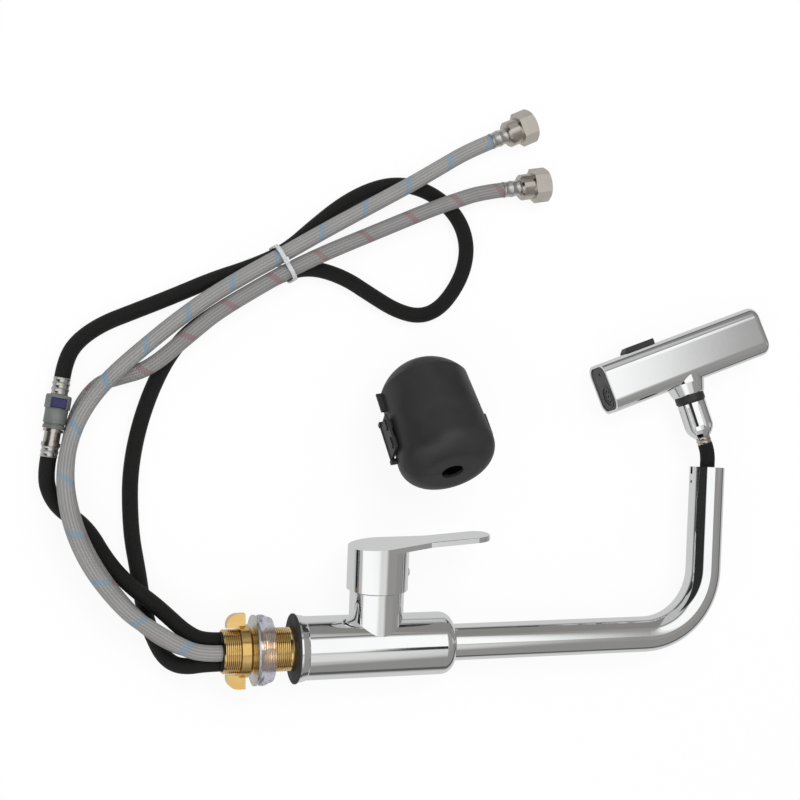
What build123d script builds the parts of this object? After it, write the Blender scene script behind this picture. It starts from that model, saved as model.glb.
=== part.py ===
from build123d import *
import os
from math import acos, asin, cos, degrees, pi, radians, sin, sqrt, tan

os.makedirs("parts", exist_ok=True)

# Pull-out mixer tap, lying on a flat surface as it comes out of its box.
# Millimetres. The origin is the centre of the deck hole, on the deck's top face.
# +X runs up the tap's body and column, +Y is the side that the spout arm points to, +Z is up.

# Driving dimensions of the body and its base
bodyRadius = 24.0
bodyLength = 112.0
bodyBase = 9.0
gasketRadius = 26.5
gasketThick = 2.0
baseRingTop = 24.5
baseRingFoot = 25.5
floorZ = -gasketRadius
fit = 0.1
running = 0.3
seat = 0.02

# Threaded shank and what clamps it to the deck
shankRadius = 16.5
shankBore = 15.0
shankFoot = -54.0
shankEngaged = 11.0
threadPitch = 1.5
threadDepth = 0.55
threadRelief = 2.5
nutRing = 19.8
nutRingThick = 6.7
nutRingX = -41.4
wingReach = 28.0
wingThick = 9.0
wingLength = 14.0
wingRound = 8.5
wingClear = 1.0
washerRadius = 26.45
clampWasherX = -30.2
clampWasherThick = 1.5
clearWasherX = -27.5
clearWasherThick = 10.8
clearWasherTop = 25.0

# Hoses
hoseDiameter = 12.0
hoseRadius = hoseDiameter / 2
hoseClear = 0.4
hosePitch = shankBore - hoseRadius - hoseClear
hoseStart = shankFoot - 1.0
portRadius = 4.0
portDepth = 10.0
waterway = 2.4
tailCollar = 5.8
channelRadius = 7.0

# Cartridge housing, on the front of the body
cartridgeX = bodyLength - 47.3
cartridgeLean = 8.2
housingRadius = 20.75
housingTop = 44.0
cartridgeBore = 17.6
cartridgeFloor = 9.8
caseShoulder = 40.0
caseNeck = 13.0
caseTop = 47.0
rotorRadius = 9.5
rotorTop = 45.0
discRadius = 12.0
discThick = 3.5
pivotHeight = 41.7
stemSide = 8.0
stemTop = 66.0

# Handle
capRadius = 23.4
capFoot = 44.7
capTop = 79.0
capWall = 1.5
capRoof = 5.0
bladeRise = 4.3
bladeReach = 88.7
bladeEdge = 0.8
bladeWidth = 26.5
bladeThick = 4.0
bladeNeck = 38.0
plugHeight = 57.0
plugRadius = 3.0

# Spout
tubeRadius = 14.1
tubeWall = 1.2
bushLength = 12.0
columnCorner = 341.5
bendRadius = 54.0
armSlant = 3.0
armLength = 134.4
bushBore = 20.0
collarThread = 5.0
collarTop = bodyLength + 14.0
tubeFoot = bodyLength - collarThread - 1.0 - bushLength
collarRound = 10.0

# Pull-out head, drawn a little way out of its dock
dockTravel = 61.4
headYaw = 16.65
barYaw = 19.65
ferruleFoot = 7.5
coneFoot = 13.5
coneShoulder = 23.0
stemShoulder = 49.7
ringFoot = stemShoulder - 7.0
barAxis = 78.9
coneRadius = 11.7
coneTip = 6.4
flutes = 8
ringRadius = 12.2
stemRadius = 13.2
stemFlare = 16.0
barWidth = 41.0
barThick = 33.0
barCorner = 10.0
barFront = 70.6
barBack = 78.4
barWall = 2.2
faceInset = 1.2
buttonBack = 41.0
buttonLength = 28.0
buttonWidth = 10.0
buttonProud = 4.5
buttonTravel = 2.5

# Supply nuts, G1/2 female
hexFlats = 24.0
hexLength = 13.5
nutCollar = 10.3
nutLength = 24.6
nutBore = 9.4
nutBoreDepth = 11.0
nutRelief = 4.5
ferruleRadius = 6.7
ferruleLength = 14.0

# Derived frames
centre = Vector(0, 0, 0)
bodyPlane = Plane(origin=(0, 0, 0), x_dir=(1, 0, 0), z_dir=(0, 0, 1))
upCartridge = Vector(0, cos(radians(cartridgeLean)), sin(radians(cartridgeLean)))
cartridgeFoot = Vector(cartridgeX, 0, 0)
cartridgePlane = Plane(origin=cartridgeFoot, x_dir=upCartridge, z_dir=(1, 0, 0))
corner = Vector(columnCorner, 0, 0)
alongArm = Vector(sin(radians(armSlant)), cos(radians(armSlant)), 0)
armPlane = Plane(origin=corner, x_dir=alongArm, z_dir=(0, 0, 1))
pivot = corner + alongArm * (armLength + 12.0)

# The head's stem dips until the bar's underside rests on the surface.
reach = barAxis + barWidth / 2 - barCorner
drop = -floorZ - barCorner - 0.03
spare = barThick / 2 - barCorner
dip = asin((reach * drop - spare * sqrt(reach**2 + spare**2 - drop**2)) / (reach**2 + spare**2))
stemUp = Vector(-sin(radians(headYaw)) * cos(dip), cos(radians(headYaw)) * cos(dip), -sin(dip))
alongBar = Vector(cos(radians(barYaw)), sin(radians(barYaw)), 0)
acrossBar = (stemUp - alongBar * stemUp.dot(alongBar)).normalized()
throughBar = alongBar.cross(acrossBar)
tiltAxis = alongArm.cross(stemUp).normalized()
tiltAngle = degrees(acos(alongArm.dot(stemUp)))
stemPlane = Plane(origin=pivot, x_dir=stemUp, z_dir=throughBar)
barCentre = pivot + stemUp * barAxis
facePlane = Plane(origin=barCentre - alongBar * barFront, x_dir=acrossBar, z_dir=alongBar)


def turn(plane, *points, mode=Mode.ADD):
    # A closed outline of (along, radius) points turned about the plane's X direction.
    with BuildSketch(plane) as outline:
        with BuildLine():
            Polyline(*points, close=True)
        make_face()
    revolve(outline.sketch, axis=Axis(plane.origin, plane.x_dir), mode=mode)


def bead(plane, along, radius, wire):
    # A round ring about the plane's X direction.
    with BuildSketch(plane) as section:
        with Locations((along, radius)):
            Circle(wire)
    revolve(section.sketch, axis=Axis(plane.origin, plane.x_dir))


def rod(start, end, radius, mode=Mode.ADD):
    # A round bar, or a round hole, from one point to another.
    with BuildSketch(Plane(origin=start, z_dir=end - start)) as section:
        Circle(radius)
    extrude(section.sketch, amount=(end - start).length, mode=mode)


def plank(plane, width, height, depth, mode=Mode.ADD):
    # A rectangular block that stands on a plane.
    with BuildSketch(plane) as section:
        Rectangle(width, height)
    extrude(section.sketch, amount=depth, mode=mode)


def save(piece, label):
    piece.part.label = label
    export_step(piece.part, f"parts/{label}.step")


def stemAt(height):
    return pivot + stemUp * height


def across(height, start=cartridgeFoot):
    # A plane square to the cartridge, with its X along the body.
    return Plane(origin=start + upCartridge * height, x_dir=(1, 0, 0), z_dir=upCartridge)


# Hose ports in the body's underside: cold, hot, mixed water out
ports = [Vector(0, 0, hosePitch), Vector(0, 0, -hosePitch), Vector(0, hosePitch, 0)]
seats = [(-5.0, -6.0), (-5.0, 6.0), (7.0, 0.0)]
portFace = bodyBase + shankEngaged + 3.0
upperBore = cartridgeX + cartridgeBore + 1.7

# Mixer body: one casting with the cartridge housing on its front
with BuildPart() as mixerBody:
    turn(bodyPlane, (bodyBase, 0), (bodyBase, bodyRadius), (bodyLength, bodyRadius), (bodyLength, 0))
    rod(cartridgeFoot, cartridgeFoot + upCartridge * housingTop, housingRadius)
    fillet(
        mixerBody.edges().filter_by(GeomType.CIRCLE).sort_by(Axis(cartridgeFoot, upCartridge))[-1], 0.6
    )
    rod(
        cartridgeFoot + upCartridge * cartridgeFloor,
        cartridgeFoot + upCartridge * (housingTop + 1),
        cartridgeBore,
        Mode.SUBTRACT,
    )
    rod(centre, Vector(portFace, 0, 0), shankRadius + fit, Mode.SUBTRACT)
    rod(Vector(upperBore, 0, 0), Vector(bodyLength + 1, 0, 0), bushBore, Mode.SUBTRACT)
    rod(Vector(portFace - 1, -hosePitch, 0), Vector(upperBore + 1, -hosePitch, 0), channelRadius, Mode.SUBTRACT)
    for port, (seatX, seatY) in zip(ports, seats):
        mouth = port + Vector(portFace - 1, 0, 0)
        bottom = port + Vector(portFace + portDepth, 0, 0)
        rod(mouth, bottom, portRadius + fit, Mode.SUBTRACT)
        seatPoint = across(cartridgeFloor + 1).from_local_coords(Vector(seatX, seatY, 0))
        rod(bottom - Vector(2, 0, 0), seatPoint, waterway, Mode.SUBTRACT)
save(mixerBody, "mixer_body")

with BuildPart() as baseRing:
    turn(
        bodyPlane,
        (gasketThick, shankRadius + running),
        (gasketThick, baseRingFoot),
        (gasketThick + 1.5, baseRingFoot),
        (bodyBase - 0.8, baseRingTop),
        (bodyBase, baseRingTop - 0.6),
        (bodyBase, shankRadius + running),
    )
save(baseRing, "base_ring")

with BuildPart() as baseGasket:
    turn(
        bodyPlane,
        (0, shankRadius + running),
        (0, gasketRadius - 0.5),
        (0.5, gasketRadius),
        (gasketThick - 0.5, gasketRadius),
        (gasketThick, gasketRadius - 0.5),
        (gasketThick, shankRadius + running),
    )
save(baseGasket, "base_gasket")

# Shank: the thread is cut as rings of the true pitch and depth.
threadStart = shankFoot + 1.0
threadEnd = -threadRelief
turns = int((threadEnd - threadStart) / threadPitch)
crest = threadPitch * 0.3
threadOutline = [(shankFoot, shankBore), (shankFoot, shankRadius - threadDepth)]
for k in range(turns):
    along = threadStart + k * threadPitch
    threadOutline += [
        (along, shankRadius),
        (along + crest, shankRadius),
        (along + crest + threadPitch * 0.35, shankRadius - threadDepth),
    ]
threadOutline += [
    (threadEnd, shankRadius),
    (bodyBase + shankEngaged, shankRadius),
    (bodyBase + shankEngaged, shankBore),
]
with BuildPart() as threadedShank:
    turn(bodyPlane, *threadOutline)
save(threadedShank, "threaded_shank")

# Fixing nut: a ring with two wings that reach back from it along the shank
nutBack = nutRingX + nutRingThick
with BuildPart() as fixingNut:
    turn(
        bodyPlane,
        (nutRingX, shankRadius + fit),
        (nutRingX, nutRing),
        (nutBack, nutRing),
        (nutBack + 1.6, nutRing - 1.6),
        (nutBack + 1.6, shankRadius + fit),
    )
    for side in (-1, 1):
        wingPlane = Plane(origin=(nutRingX + 2.0, 0, -wingThick / 2), z_dir=(0, 0, 1))
        wingFront = 3.0
        wingFoot = shankRadius + wingClear
        with BuildSketch(wingPlane) as wing:
            with Locations((wingFront - wingLength / 2, side * (wingFoot + wingReach) / 2)):
                Rectangle(wingLength, wingReach - wingFoot)
            outerCorners = wing.vertices().group_by(Axis.Y)[-1 if side > 0 else 0].sort_by(Axis.X)
            fillet(outerCorners[0], wingRound)
            fillet(outerCorners[-1], wingClear * 2)
        extrude(wing.sketch, amount=wingThick)
save(fixingNut, "fixing_nut")

with BuildPart() as clampWasher:
    turn(
        bodyPlane,
        (clampWasherX, shankRadius + running),
        (clampWasherX, washerRadius),
        (clampWasherX + clampWasherThick, washerRadius),
        (clampWasherX + clampWasherThick, shankRadius + running),
    )
save(clampWasher, "clamp_washer")

with BuildPart() as clearWasher:
    turn(
        bodyPlane,
        (clearWasherX, shankRadius + running),
        (clearWasherX, clearWasherTop),
        (clearWasherX + 2.0, washerRadius),
        (clearWasherX + 4.5, washerRadius),
        (clearWasherX + clearWasherThick - 3.0, clearWasherTop),
        (clearWasherX + clearWasherThick, clearWasherTop - 1.0),
        (clearWasherX + clearWasherThick, shankRadius + running),
    )
save(clearWasher, "clear_washer")

# Cartridge: case with its discs, rotor and stem
caseRadius = cartridgeBore - 0.2
caseInside = discRadius + 0.3
discFoot = cartridgeFloor + 3.9
with BuildPart() as cartridgeCase:
    turn(
        cartridgePlane,
        (cartridgeFloor + 0.2, 0),
        (cartridgeFloor + 0.2, caseRadius),
        (caseShoulder, caseRadius),
        (caseShoulder, caseNeck),
        (caseTop, caseNeck),
        (caseTop, rotorRadius + 0.5),
        (caseShoulder - 4, rotorRadius + 0.5),
        (caseShoulder - 4, caseInside),
        (discFoot, caseInside),
        (discFoot, 0),
    )
    with BuildSketch(across(cartridgeFloor + 0.2)) as portHoles:
        with Locations(*seats):
            Circle(waterway)
    extrude(portHoles.sketch, amount=5, mode=Mode.SUBTRACT)
    with BuildSketch(across(cartridgeFloor + 0.2)) as sealSeats:
        with Locations(*seats):
            Circle(4.4)
    extrude(sealSeats.sketch, amount=1.2, mode=Mode.SUBTRACT)
save(cartridgeCase, "cartridge_case")

with BuildPart() as cartridgeSeals:
    with BuildSketch(across(cartridgeFloor + seat)) as sealRings:
        with Locations(*seats):
            Circle(4.3)
        with Locations(*seats):
            Circle(2.6, mode=Mode.SUBTRACT)
    extrude(sealRings.sketch, amount=1.3)
save(cartridgeSeals, "cartridge_seals")

with BuildPart() as fixedDisc:
    with BuildSketch(across(discFoot + seat)) as fixedFace:
        Circle(discRadius)
        with Locations(*seats):
            Circle(waterway, mode=Mode.SUBTRACT)
    extrude(fixedFace.sketch, amount=discThick - 2 * seat)
save(fixedDisc, "cartridge_fixed_disc")

with BuildPart() as movingDisc:
    with BuildSketch(across(discFoot + discThick + seat)) as movingFace:
        Circle(discRadius)
        SlotCenterToCenter(7, 5, mode=Mode.SUBTRACT)
    extrude(movingFace.sketch, amount=discThick - 2 * seat)
save(movingDisc, "cartridge_moving_disc")

rotorFoot = discFoot + 2 * discThick + seat
rotorShoulder = caseShoulder - 4.5
pinRadius = 1.5
pinHalf = rotorRadius - 0.2
leverPivot = cartridgeFoot + upCartridge * pivotHeight
pinAxis = upCartridge.cross(Vector(1, 0, 0))
with BuildPart() as rotor:
    turn(
        cartridgePlane,
        (rotorFoot, 0),
        (rotorFoot, discRadius),
        (rotorShoulder, discRadius),
        (rotorShoulder, rotorRadius),
        (rotorTop, rotorRadius),
        (rotorTop, 0),
    )
    plank(across(pivotHeight - stemSide / 2 - 0.5), 3 * rotorRadius, stemSide + 0.6, 20, Mode.SUBTRACT)
    rod(leverPivot - pinAxis * 2 * pinHalf, leverPivot + pinAxis * 2 * pinHalf, pinRadius + fit, Mode.SUBTRACT)
save(rotor, "cartridge_rotor")

with BuildPart() as leverPin:
    rod(leverPivot - pinAxis * (pinHalf - 1), leverPivot + pinAxis * (pinHalf - 1), pinRadius)
save(leverPin, "lever_pin")

with BuildPart() as leverStem:
    rod(leverPivot - pinAxis * stemSide / 2, leverPivot + pinAxis * stemSide / 2, stemSide / 2)
    plank(across(pivotHeight), stemSide, stemSide, stemTop - pivotHeight)
    rod(leverPivot - pinAxis * stemSide, leverPivot + pinAxis * stemSide, pinRadius + fit, Mode.SUBTRACT)
save(leverStem, "lever_stem")

with BuildPart() as cartridgeNut:
    turn(
        cartridgePlane,
        (caseShoulder + seat, caseNeck + 0.2),
        (caseShoulder + seat, caseRadius),
        (housingTop - 0.1, caseRadius),
        (housingTop - 0.1, caseNeck + 0.2),
    )
save(cartridgeNut, "cartridge_nut")

with BuildPart() as trimDome:
    turn(
        cartridgePlane,
        (housingTop + seat, caseNeck + 0.4),
        (housingTop + seat, housingRadius - 0.6),
        (housingTop + 1.5, housingRadius - 0.8),
        (housingTop + 4.0, caseNeck + 4.0),
        (housingTop + 5.2, caseNeck + 1.8),
        (housingTop + 5.2, caseNeck + 0.4),
    )
save(trimDome, "trim_dome")

# Handle: a cup over the housing whose slanting roof runs on as the blade
capPoint = cartridgeFoot + upCartridge * capTop
bladeRun = Vector(cos(radians(bladeRise)), 0, 0) + upCartridge * sin(radians(bladeRise))
bladePlane = Plane(origin=capPoint, x_dir=bladeRun, z_dir=bladeRun.cross(pinAxis))
bossRadius = 9.0
bossFoot = 54.0
socketGap = 0.15
plugPoint = cartridgeFoot + upCartridge * plugHeight
alongBody = Vector(1, 0, 0)
with BuildPart() as handle:
    rod(cartridgeFoot + upCartridge * capFoot, cartridgeFoot + upCartridge * (capTop + 9), capRadius)
    rod(
        cartridgeFoot + upCartridge * (capFoot - 1),
        cartridgeFoot + upCartridge * (capTop - capRoof - 1.5),
        capRadius - capWall,
        Mode.SUBTRACT,
    )
    rod(cartridgeFoot + upCartridge * bossFoot, cartridgeFoot + upCartridge * (capTop - capRoof), bossRadius)
    split(bisect_by=bladePlane, keep=Keep.BOTTOM)
    plank(across(bossFoot - 1), stemSide + 2 * socketGap, stemSide + 2 * socketGap, stemTop + 1.5 - bossFoot, Mode.SUBTRACT)
    with BuildSketch(bladePlane) as blade:
        with BuildLine():
            Polyline(
                (0, capRadius - 0.2),
                (8, capRadius - 1.4),
                (bladeNeck, bladeWidth / 2),
                (bladeReach, bladeWidth / 2),
                (bladeReach, -bladeWidth / 2),
                (bladeNeck, -bladeWidth / 2),
                (8, 1.4 - capRadius),
                (0, 0.2 - capRadius),
                close=True,
            )
        make_face()
        fillet(blade.vertices().group_by(Axis.X)[-1], bladeWidth / 2 - 0.8)
    extrude(blade.sketch, amount=-bladeThick)
    topFace = handle.faces().filter_by(GeomType.PLANE).sort_by(SortBy.AREA)[-1]
    rim = topFace.outer_wire().edges().filter_by(lambda edge: edge.center().X > capPoint.X + bladeNeck)
    fillet(rim, bladeEdge)
    rod(plugPoint + alongBody * (stemSide / 2 - 0.5), plugPoint + alongBody * (bossRadius + 1), 2.1, Mode.SUBTRACT)
    rod(plugPoint + alongBody * (bossRadius + 1), plugPoint + alongBody * (capRadius + 1), plugRadius, Mode.SUBTRACT)
save(handle, "handle")

with BuildPart() as grubScrew:
    rod(plugPoint + alongBody * (stemSide / 2 + seat), plugPoint + alongBody * (bossRadius - 0.3), 2.0)
    with BuildSketch(Plane(origin=plugPoint + alongBody * (bossRadius - 0.3), z_dir=alongBody)) as hexKey:
        RegularPolygon(radius=1.2, side_count=6)
    extrude(hexKey.sketch, amount=-2.2, mode=Mode.SUBTRACT)
save(grubScrew, "handle_grub_screw")

with BuildPart() as indexPlug:
    rod(plugPoint + alongBody * (capRadius - 2.6), plugPoint + alongBody * (capRadius + 0.1), plugRadius - 0.05)
    rod(plugPoint + alongBody * (capRadius + 0.05), plugPoint + alongBody * (capRadius + 1.3), plugRadius + 0.4)
    fillet(indexPlug.edges().filter_by(GeomType.CIRCLE).sort_by(Axis.X)[-1], 0.8)
save(indexPlug, "index_plug")

# Column: collar, bush, o-rings and the bent tube
with BuildPart() as spoutCollar:
    with BuildSketch(bodyPlane) as collarOutline:
        with BuildLine():
            Polyline(
                (collarTop - 0.3, tubeRadius + 0.75),
                (collarTop - 0.3, tubeRadius + running),
                (bodyLength - collarThread, tubeRadius + running),
                (bodyLength - collarThread, bushBore - fit),
                (bodyLength + seat, bushBore - fit),
                (bodyLength + seat, bodyRadius),
                (collarTop - collarRound, bodyRadius),
            )
            TangentArc((collarTop - collarRound, bodyRadius), (collarTop - 0.3, tubeRadius + 0.75), tangent=(1, 0))
        make_face()
    revolve(collarOutline.sketch, axis=Axis.X)
save(spoutCollar, "spout_collar")

grooves = [tubeFoot + bushLength * 0.25, tubeFoot + bushLength * 0.7]
ringWire = 1.2
ringCentre = bushBore - 0.1 - ringWire
with BuildPart() as spoutBush:
    turn(
        bodyPlane,
        (tubeFoot, tubeRadius + seat),
        (tubeFoot, bushBore - 0.25),
        (tubeFoot + bushLength, bushBore - 0.25),
        (tubeFoot + bushLength, tubeRadius + seat),
    )
    for groove in grooves:
        turn(
            bodyPlane,
            (groove - 1.4, ringCentre - ringWire - 0.05),
            (groove - 1.4, bushBore + 1),
            (groove + 1.4, bushBore + 1),
            (groove + 1.4, ringCentre - ringWire - 0.05),
            mode=Mode.SUBTRACT,
        )
save(spoutBush, "spout_bush")

with BuildPart() as spoutORings:
    for groove in grooves:
        bead(bodyPlane, groove, ringCentre, ringWire)
save(spoutORings, "spout_o_rings")

rim = corner + alongArm * armLength
slotWidth = 3.0
slotDepth = 6.0
clipHole = 1.4
clipFromRim = 12.5
acrossArm = Vector(0, 0, 1).cross(alongArm)
with BuildPart() as spoutTube:
    with BuildLine() as tubePath:
        FilletPolyline((tubeFoot, 0, 0), corner, rim, radius=bendRadius)
    with BuildSketch(Plane(origin=(tubeFoot, 0, 0), z_dir=(1, 0, 0))) as tubeSection:
        Circle(tubeRadius)
        Circle(tubeRadius - tubeWall, mode=Mode.SUBTRACT)
    sweep(tubeSection.sketch, path=tubePath.wires()[0])
    slotPlane = Plane(origin=rim - alongArm * slotDepth / 2, x_dir=alongArm, z_dir=acrossArm)
    plank(slotPlane, slotDepth + 0.01, slotWidth, 2 * tubeRadius, Mode.SUBTRACT)
    clipPoint = rim - alongArm * clipFromRim
    rod(clipPoint, clipPoint + acrossArm * 2 * tubeRadius, clipHole, Mode.SUBTRACT)
save(spoutTube, "spout_tube")

guideStart = 62.0
guideLength = 20.0
with BuildPart() as hoseGuide:
    turn(
        armPlane,
        (guideStart, hoseRadius + 1.5),
        (guideStart, tubeRadius - tubeWall - 0.1),
        (guideStart + guideLength, tubeRadius - tubeWall - 0.1),
        (guideStart + guideLength, hoseRadius + 4),
        (guideStart + guideLength - 4, hoseRadius + 1.5),
    )
save(hoseGuide, "hose_guide")


# Hoses inside the tap
def hose(start, heading, radius, path):
    # A tube of the given radius swept along a wire.
    with BuildSketch(Plane(origin=start, z_dir=heading)) as section:
        Circle(radius)
    sweep(section.sketch, path=path)


swayRadius = 24.0
swayTurn = acos(1 - hosePitch / (2 * swayRadius))
hoseJoin = bodyLength - 4.0
swayStart = hoseJoin - 28.0
insideStart = Vector(hoseStart, -hosePitch, 0)
with BuildPart() as hoseInBody:
    with BuildLine() as insidePath:
        Line(insideStart, (swayStart, -hosePitch, 0))
        firstArc = JernArc((swayStart, -hosePitch, 0), (1, 0, 0), swayRadius, degrees(swayTurn))
        secondArc = JernArc(firstArc @ 1, firstArc % 1, swayRadius, -degrees(swayTurn))
        Line(secondArc @ 1, (hoseJoin, 0, 0))
    hose(insideStart, Vector(1, 0, 0), hoseRadius, insidePath.wires()[0])
save(hoseInBody, "hose_in_body")

throatStart = 84.0
neckStart = 118.0
with BuildPart() as hoseInSpout:
    throatPoint = corner + alongArm * throatStart
    with BuildLine() as columnPath:
        FilletPolyline((hoseJoin, 0, 0), corner, throatPoint, radius=bendRadius)
    hose(Vector(hoseJoin, 0, 0), Vector(1, 0, 0), hoseRadius, columnPath.wires()[0])
save(hoseInSpout, "hose_in_spout")

neckPoint = corner + alongArm * neckStart
with BuildPart() as hoseThroat:
    rod(throatPoint, neckPoint, hoseRadius)
save(hoseThroat, "hose_throat")

ferruleEnd = stemAt(ferruleFoot)
with BuildPart() as hoseNeck:
    with BuildLine() as neckPath:
        FilletPolyline(neckPoint, pivot, ferruleEnd, radius=ferruleFoot * 0.9 / tan(radians(tiltAngle) / 2))
    hose(neckPoint, alongArm, hoseRadius, neckPath.wires()[0])
save(hoseNeck, "hose_neck")

# Hose tails screwed into the body, and the hoses as far as the shank's foot
tailFoot = portFace - 11.0
with BuildPart() as hoseTails:
    for port in ports:
        rod(port + Vector(tailFoot, 0, 0), port + Vector(portFace - seat, 0, 0), tailCollar)
        rod(port + Vector(portFace - 1, 0, 0), port + Vector(portFace + portDepth - 2, 0, 0), portRadius)
        rod(port + Vector(portFace - 5, 0, 0), port + Vector(portFace + portDepth, 0, 0), waterway, Mode.SUBTRACT)
save(hoseTails, "hose_tails")

with BuildPart() as hosesInShank:
    for port in ports:
        rod(port + Vector(hoseStart, 0, 0), port + Vector(tailFoot, 0, 0), hoseRadius)
save(hosesInShank, "hoses_in_shank")

# Pull-out head: ferrule and connector on the hose, then the bar that turns on them
with BuildPart() as swivelFerrule:
    turn(
        stemPlane,
        (ferruleFoot + seat, 0),
        (ferruleFoot + seat, 6.25),
        (ferruleFoot + 3, 6.25),
        (ferruleFoot + 3.4, 5.8),
        (coneFoot - 1, 5.8),
        (coneFoot - 0.6, 6.25),
        (coneFoot - seat, 6.25),
        (coneFoot - seat, 0),
    )
save(swivelFerrule, "swivel_ferrule")

fluteRadius = 1.1
connectorBore = 5.0
with BuildPart() as hoseConnector:
    turn(
        stemPlane,
        (coneFoot, connectorBore),
        (coneFoot, coneTip),
        (coneFoot + 3, coneRadius - 2.6),
        (coneFoot + 6, coneRadius - 0.8),
        (coneShoulder, coneRadius),
        (ringFoot - seat, coneRadius),
        (ringFoot - seat, 8.3),
        (stemShoulder + 6, 8.3),
        (stemShoulder + 6, connectorBore),
    )
    for k in range(flutes):
        outward = throughBar.rotate(Axis((0, 0, 0), stemUp), 360 * k / flutes)
        rod(
            stemAt(coneFoot + 8) + outward * (coneRadius + 0.4),
            stemAt(ringFoot - 3) + outward * (coneRadius + 0.4),
            fluteRadius,
            Mode.SUBTRACT,
        )
save(hoseConnector, "hose_connector")

with BuildPart() as checkValve:
    turn(
        stemPlane,
        (coneShoulder, 1.6),
        (coneShoulder, connectorBore - 0.1),
        (coneShoulder + 12, connectorBore - 0.1),
        (coneShoulder + 12, 3.2),
        (coneShoulder + 3, 3.2),
    )
save(checkValve, "check_valve")

with BuildPart() as collarRing:
    turn(
        stemPlane,
        (ringFoot, 8.6),
        (ringFoot, ringRadius - 1.2),
        (ringFoot + 1.6, ringRadius),
        (stemShoulder - 0.5, ringRadius),
        (stemShoulder - seat, ringRadius - 0.4),
        (stemShoulder - seat, 8.6),
    )
save(collarRing, "collar_ring")

barLength = barFront + barBack
stemBore = 10.2
coreEnd = barFront + 14.0
with BuildPart() as headShell:
    with BuildSketch(facePlane) as barOutline:
        RectangleRounded(barWidth, barThick, barCorner)
    extrude(barOutline.sketch, amount=barLength)
    fillet(headShell.faces().sort_by(Axis(facePlane.origin, alongBar))[-1].edges(), 7.0)
    turn(
        stemPlane,
        (stemShoulder, 0),
        (stemShoulder, stemRadius - 0.6),
        (stemShoulder + 0.6, stemRadius),
        (barAxis - barWidth / 2 + 1, stemFlare),
        (barAxis, stemFlare),
        (barAxis, 0),
    )
    with BuildSketch(facePlane) as cavity:
        RectangleRounded(barWidth - 2 * barWall, barThick - 2 * barWall, barCorner - barWall)
    extrude(cavity.sketch, amount=barLength - 2 * barWall - 3, mode=Mode.SUBTRACT)
    rod(stemAt(stemShoulder - 1), barCentre, stemBore, Mode.SUBTRACT)
    buttonPlane = Plane(
        origin=facePlane.origin + alongBar * buttonBack, x_dir=alongBar, z_dir=acrossBar
    )
    plank(buttonPlane, buttonLength + 0.5, buttonWidth + 0.5, barWidth, Mode.SUBTRACT)
save(headShell, "head_shell")

# Waterway inside the head
coreGap = 0.25
coreFront = faceInset + 3.2
spoolRadius = 4.0
spoolFoot = -6.0
aeratorCentre = -7.0
aeratorRadius = 9.0
buttonFoot = barWidth / 2 - barWall - 2.0
with BuildPart() as headCore:
    with BuildSketch(facePlane.offset(coreFront)) as coreOutline:
        RectangleRounded(
            barWidth - 2 * barWall - 2 * coreGap,
            barThick - 2 * barWall - 2 * coreGap,
            barCorner - barWall - coreGap,
        )
    extrude(coreOutline.sketch, amount=coreEnd - coreFront)
    rod(stemAt(stemShoulder + 0.4), barCentre, stemBore - 0.2)
    rod(stemAt(stemShoulder), stemAt(barAxis - 4), 8.5, Mode.SUBTRACT)
    rod(barCentre - alongBar * 1, barCentre - alongBar * (barFront - coreFront + 1), 3.5, Mode.SUBTRACT)
    rod(stemAt(barAxis - 5), stemAt(barAxis), 3.5, Mode.SUBTRACT)
    plank(buttonPlane.offset(buttonFoot - buttonTravel - 0.6), buttonLength + 1, buttonWidth + 1, barWidth, Mode.SUBTRACT)
    rod(
        buttonPlane.origin + acrossBar * (spoolFoot - 6),
        buttonPlane.origin + acrossBar * barWidth,
        spoolRadius + fit,
        Mode.SUBTRACT,
    )
save(headCore, "head_core")

with BuildPart() as modeButton:
    plank(
        buttonPlane.offset(buttonFoot),
        buttonLength,
        buttonWidth,
        barWidth / 2 - buttonFoot + buttonProud,
    )
    chamfer(
        modeButton.faces().sort_by(Axis(buttonPlane.origin, acrossBar))[-1]
        .edges().sort_by(Axis(buttonPlane.origin, alongBar))[0],
        3.0,
    )
    fillet(modeButton.faces().sort_by(Axis(buttonPlane.origin, acrossBar))[-1].edges(), 0.7)
save(modeButton, "mode_button")

with BuildPart() as diverterSpool:
    rod(buttonPlane.origin + acrossBar * spoolFoot, buttonPlane.origin + acrossBar * (buttonFoot - seat), spoolRadius)
    for groove in (0.0, 6.0):
        with BuildSketch(buttonPlane.offset(groove)) as waist:
            Circle(spoolRadius + 1)
            Circle(spoolRadius - 1.5, mode=Mode.SUBTRACT)
        extrude(waist.sketch, amount=2.4, mode=Mode.SUBTRACT)
save(diverterSpool, "diverter_spool")

springWire = 0.5
springRadius = 2.8
springPlane = Plane(
    origin=buttonPlane.origin + acrossBar * (spoolFoot - 5.4), x_dir=alongBar, z_dir=acrossBar
)
with BuildPart() as diverterSpring:
    with BuildLine() as coil:
        Helix(
            pitch=1.3,
            height=4.55,
            radius=springRadius,
            center=tuple(springPlane.origin),
            direction=tuple(acrossBar),
        )
    with BuildSketch(Plane(origin=coil.wires()[0] @ 0, z_dir=coil.wires()[0] % 0)) as wire:
        Circle(springWire / 2)
    sweep(wire.sketch, path=coil.wires()[0], is_frenet=True)
save(diverterSpring, "diverter_spring")

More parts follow.
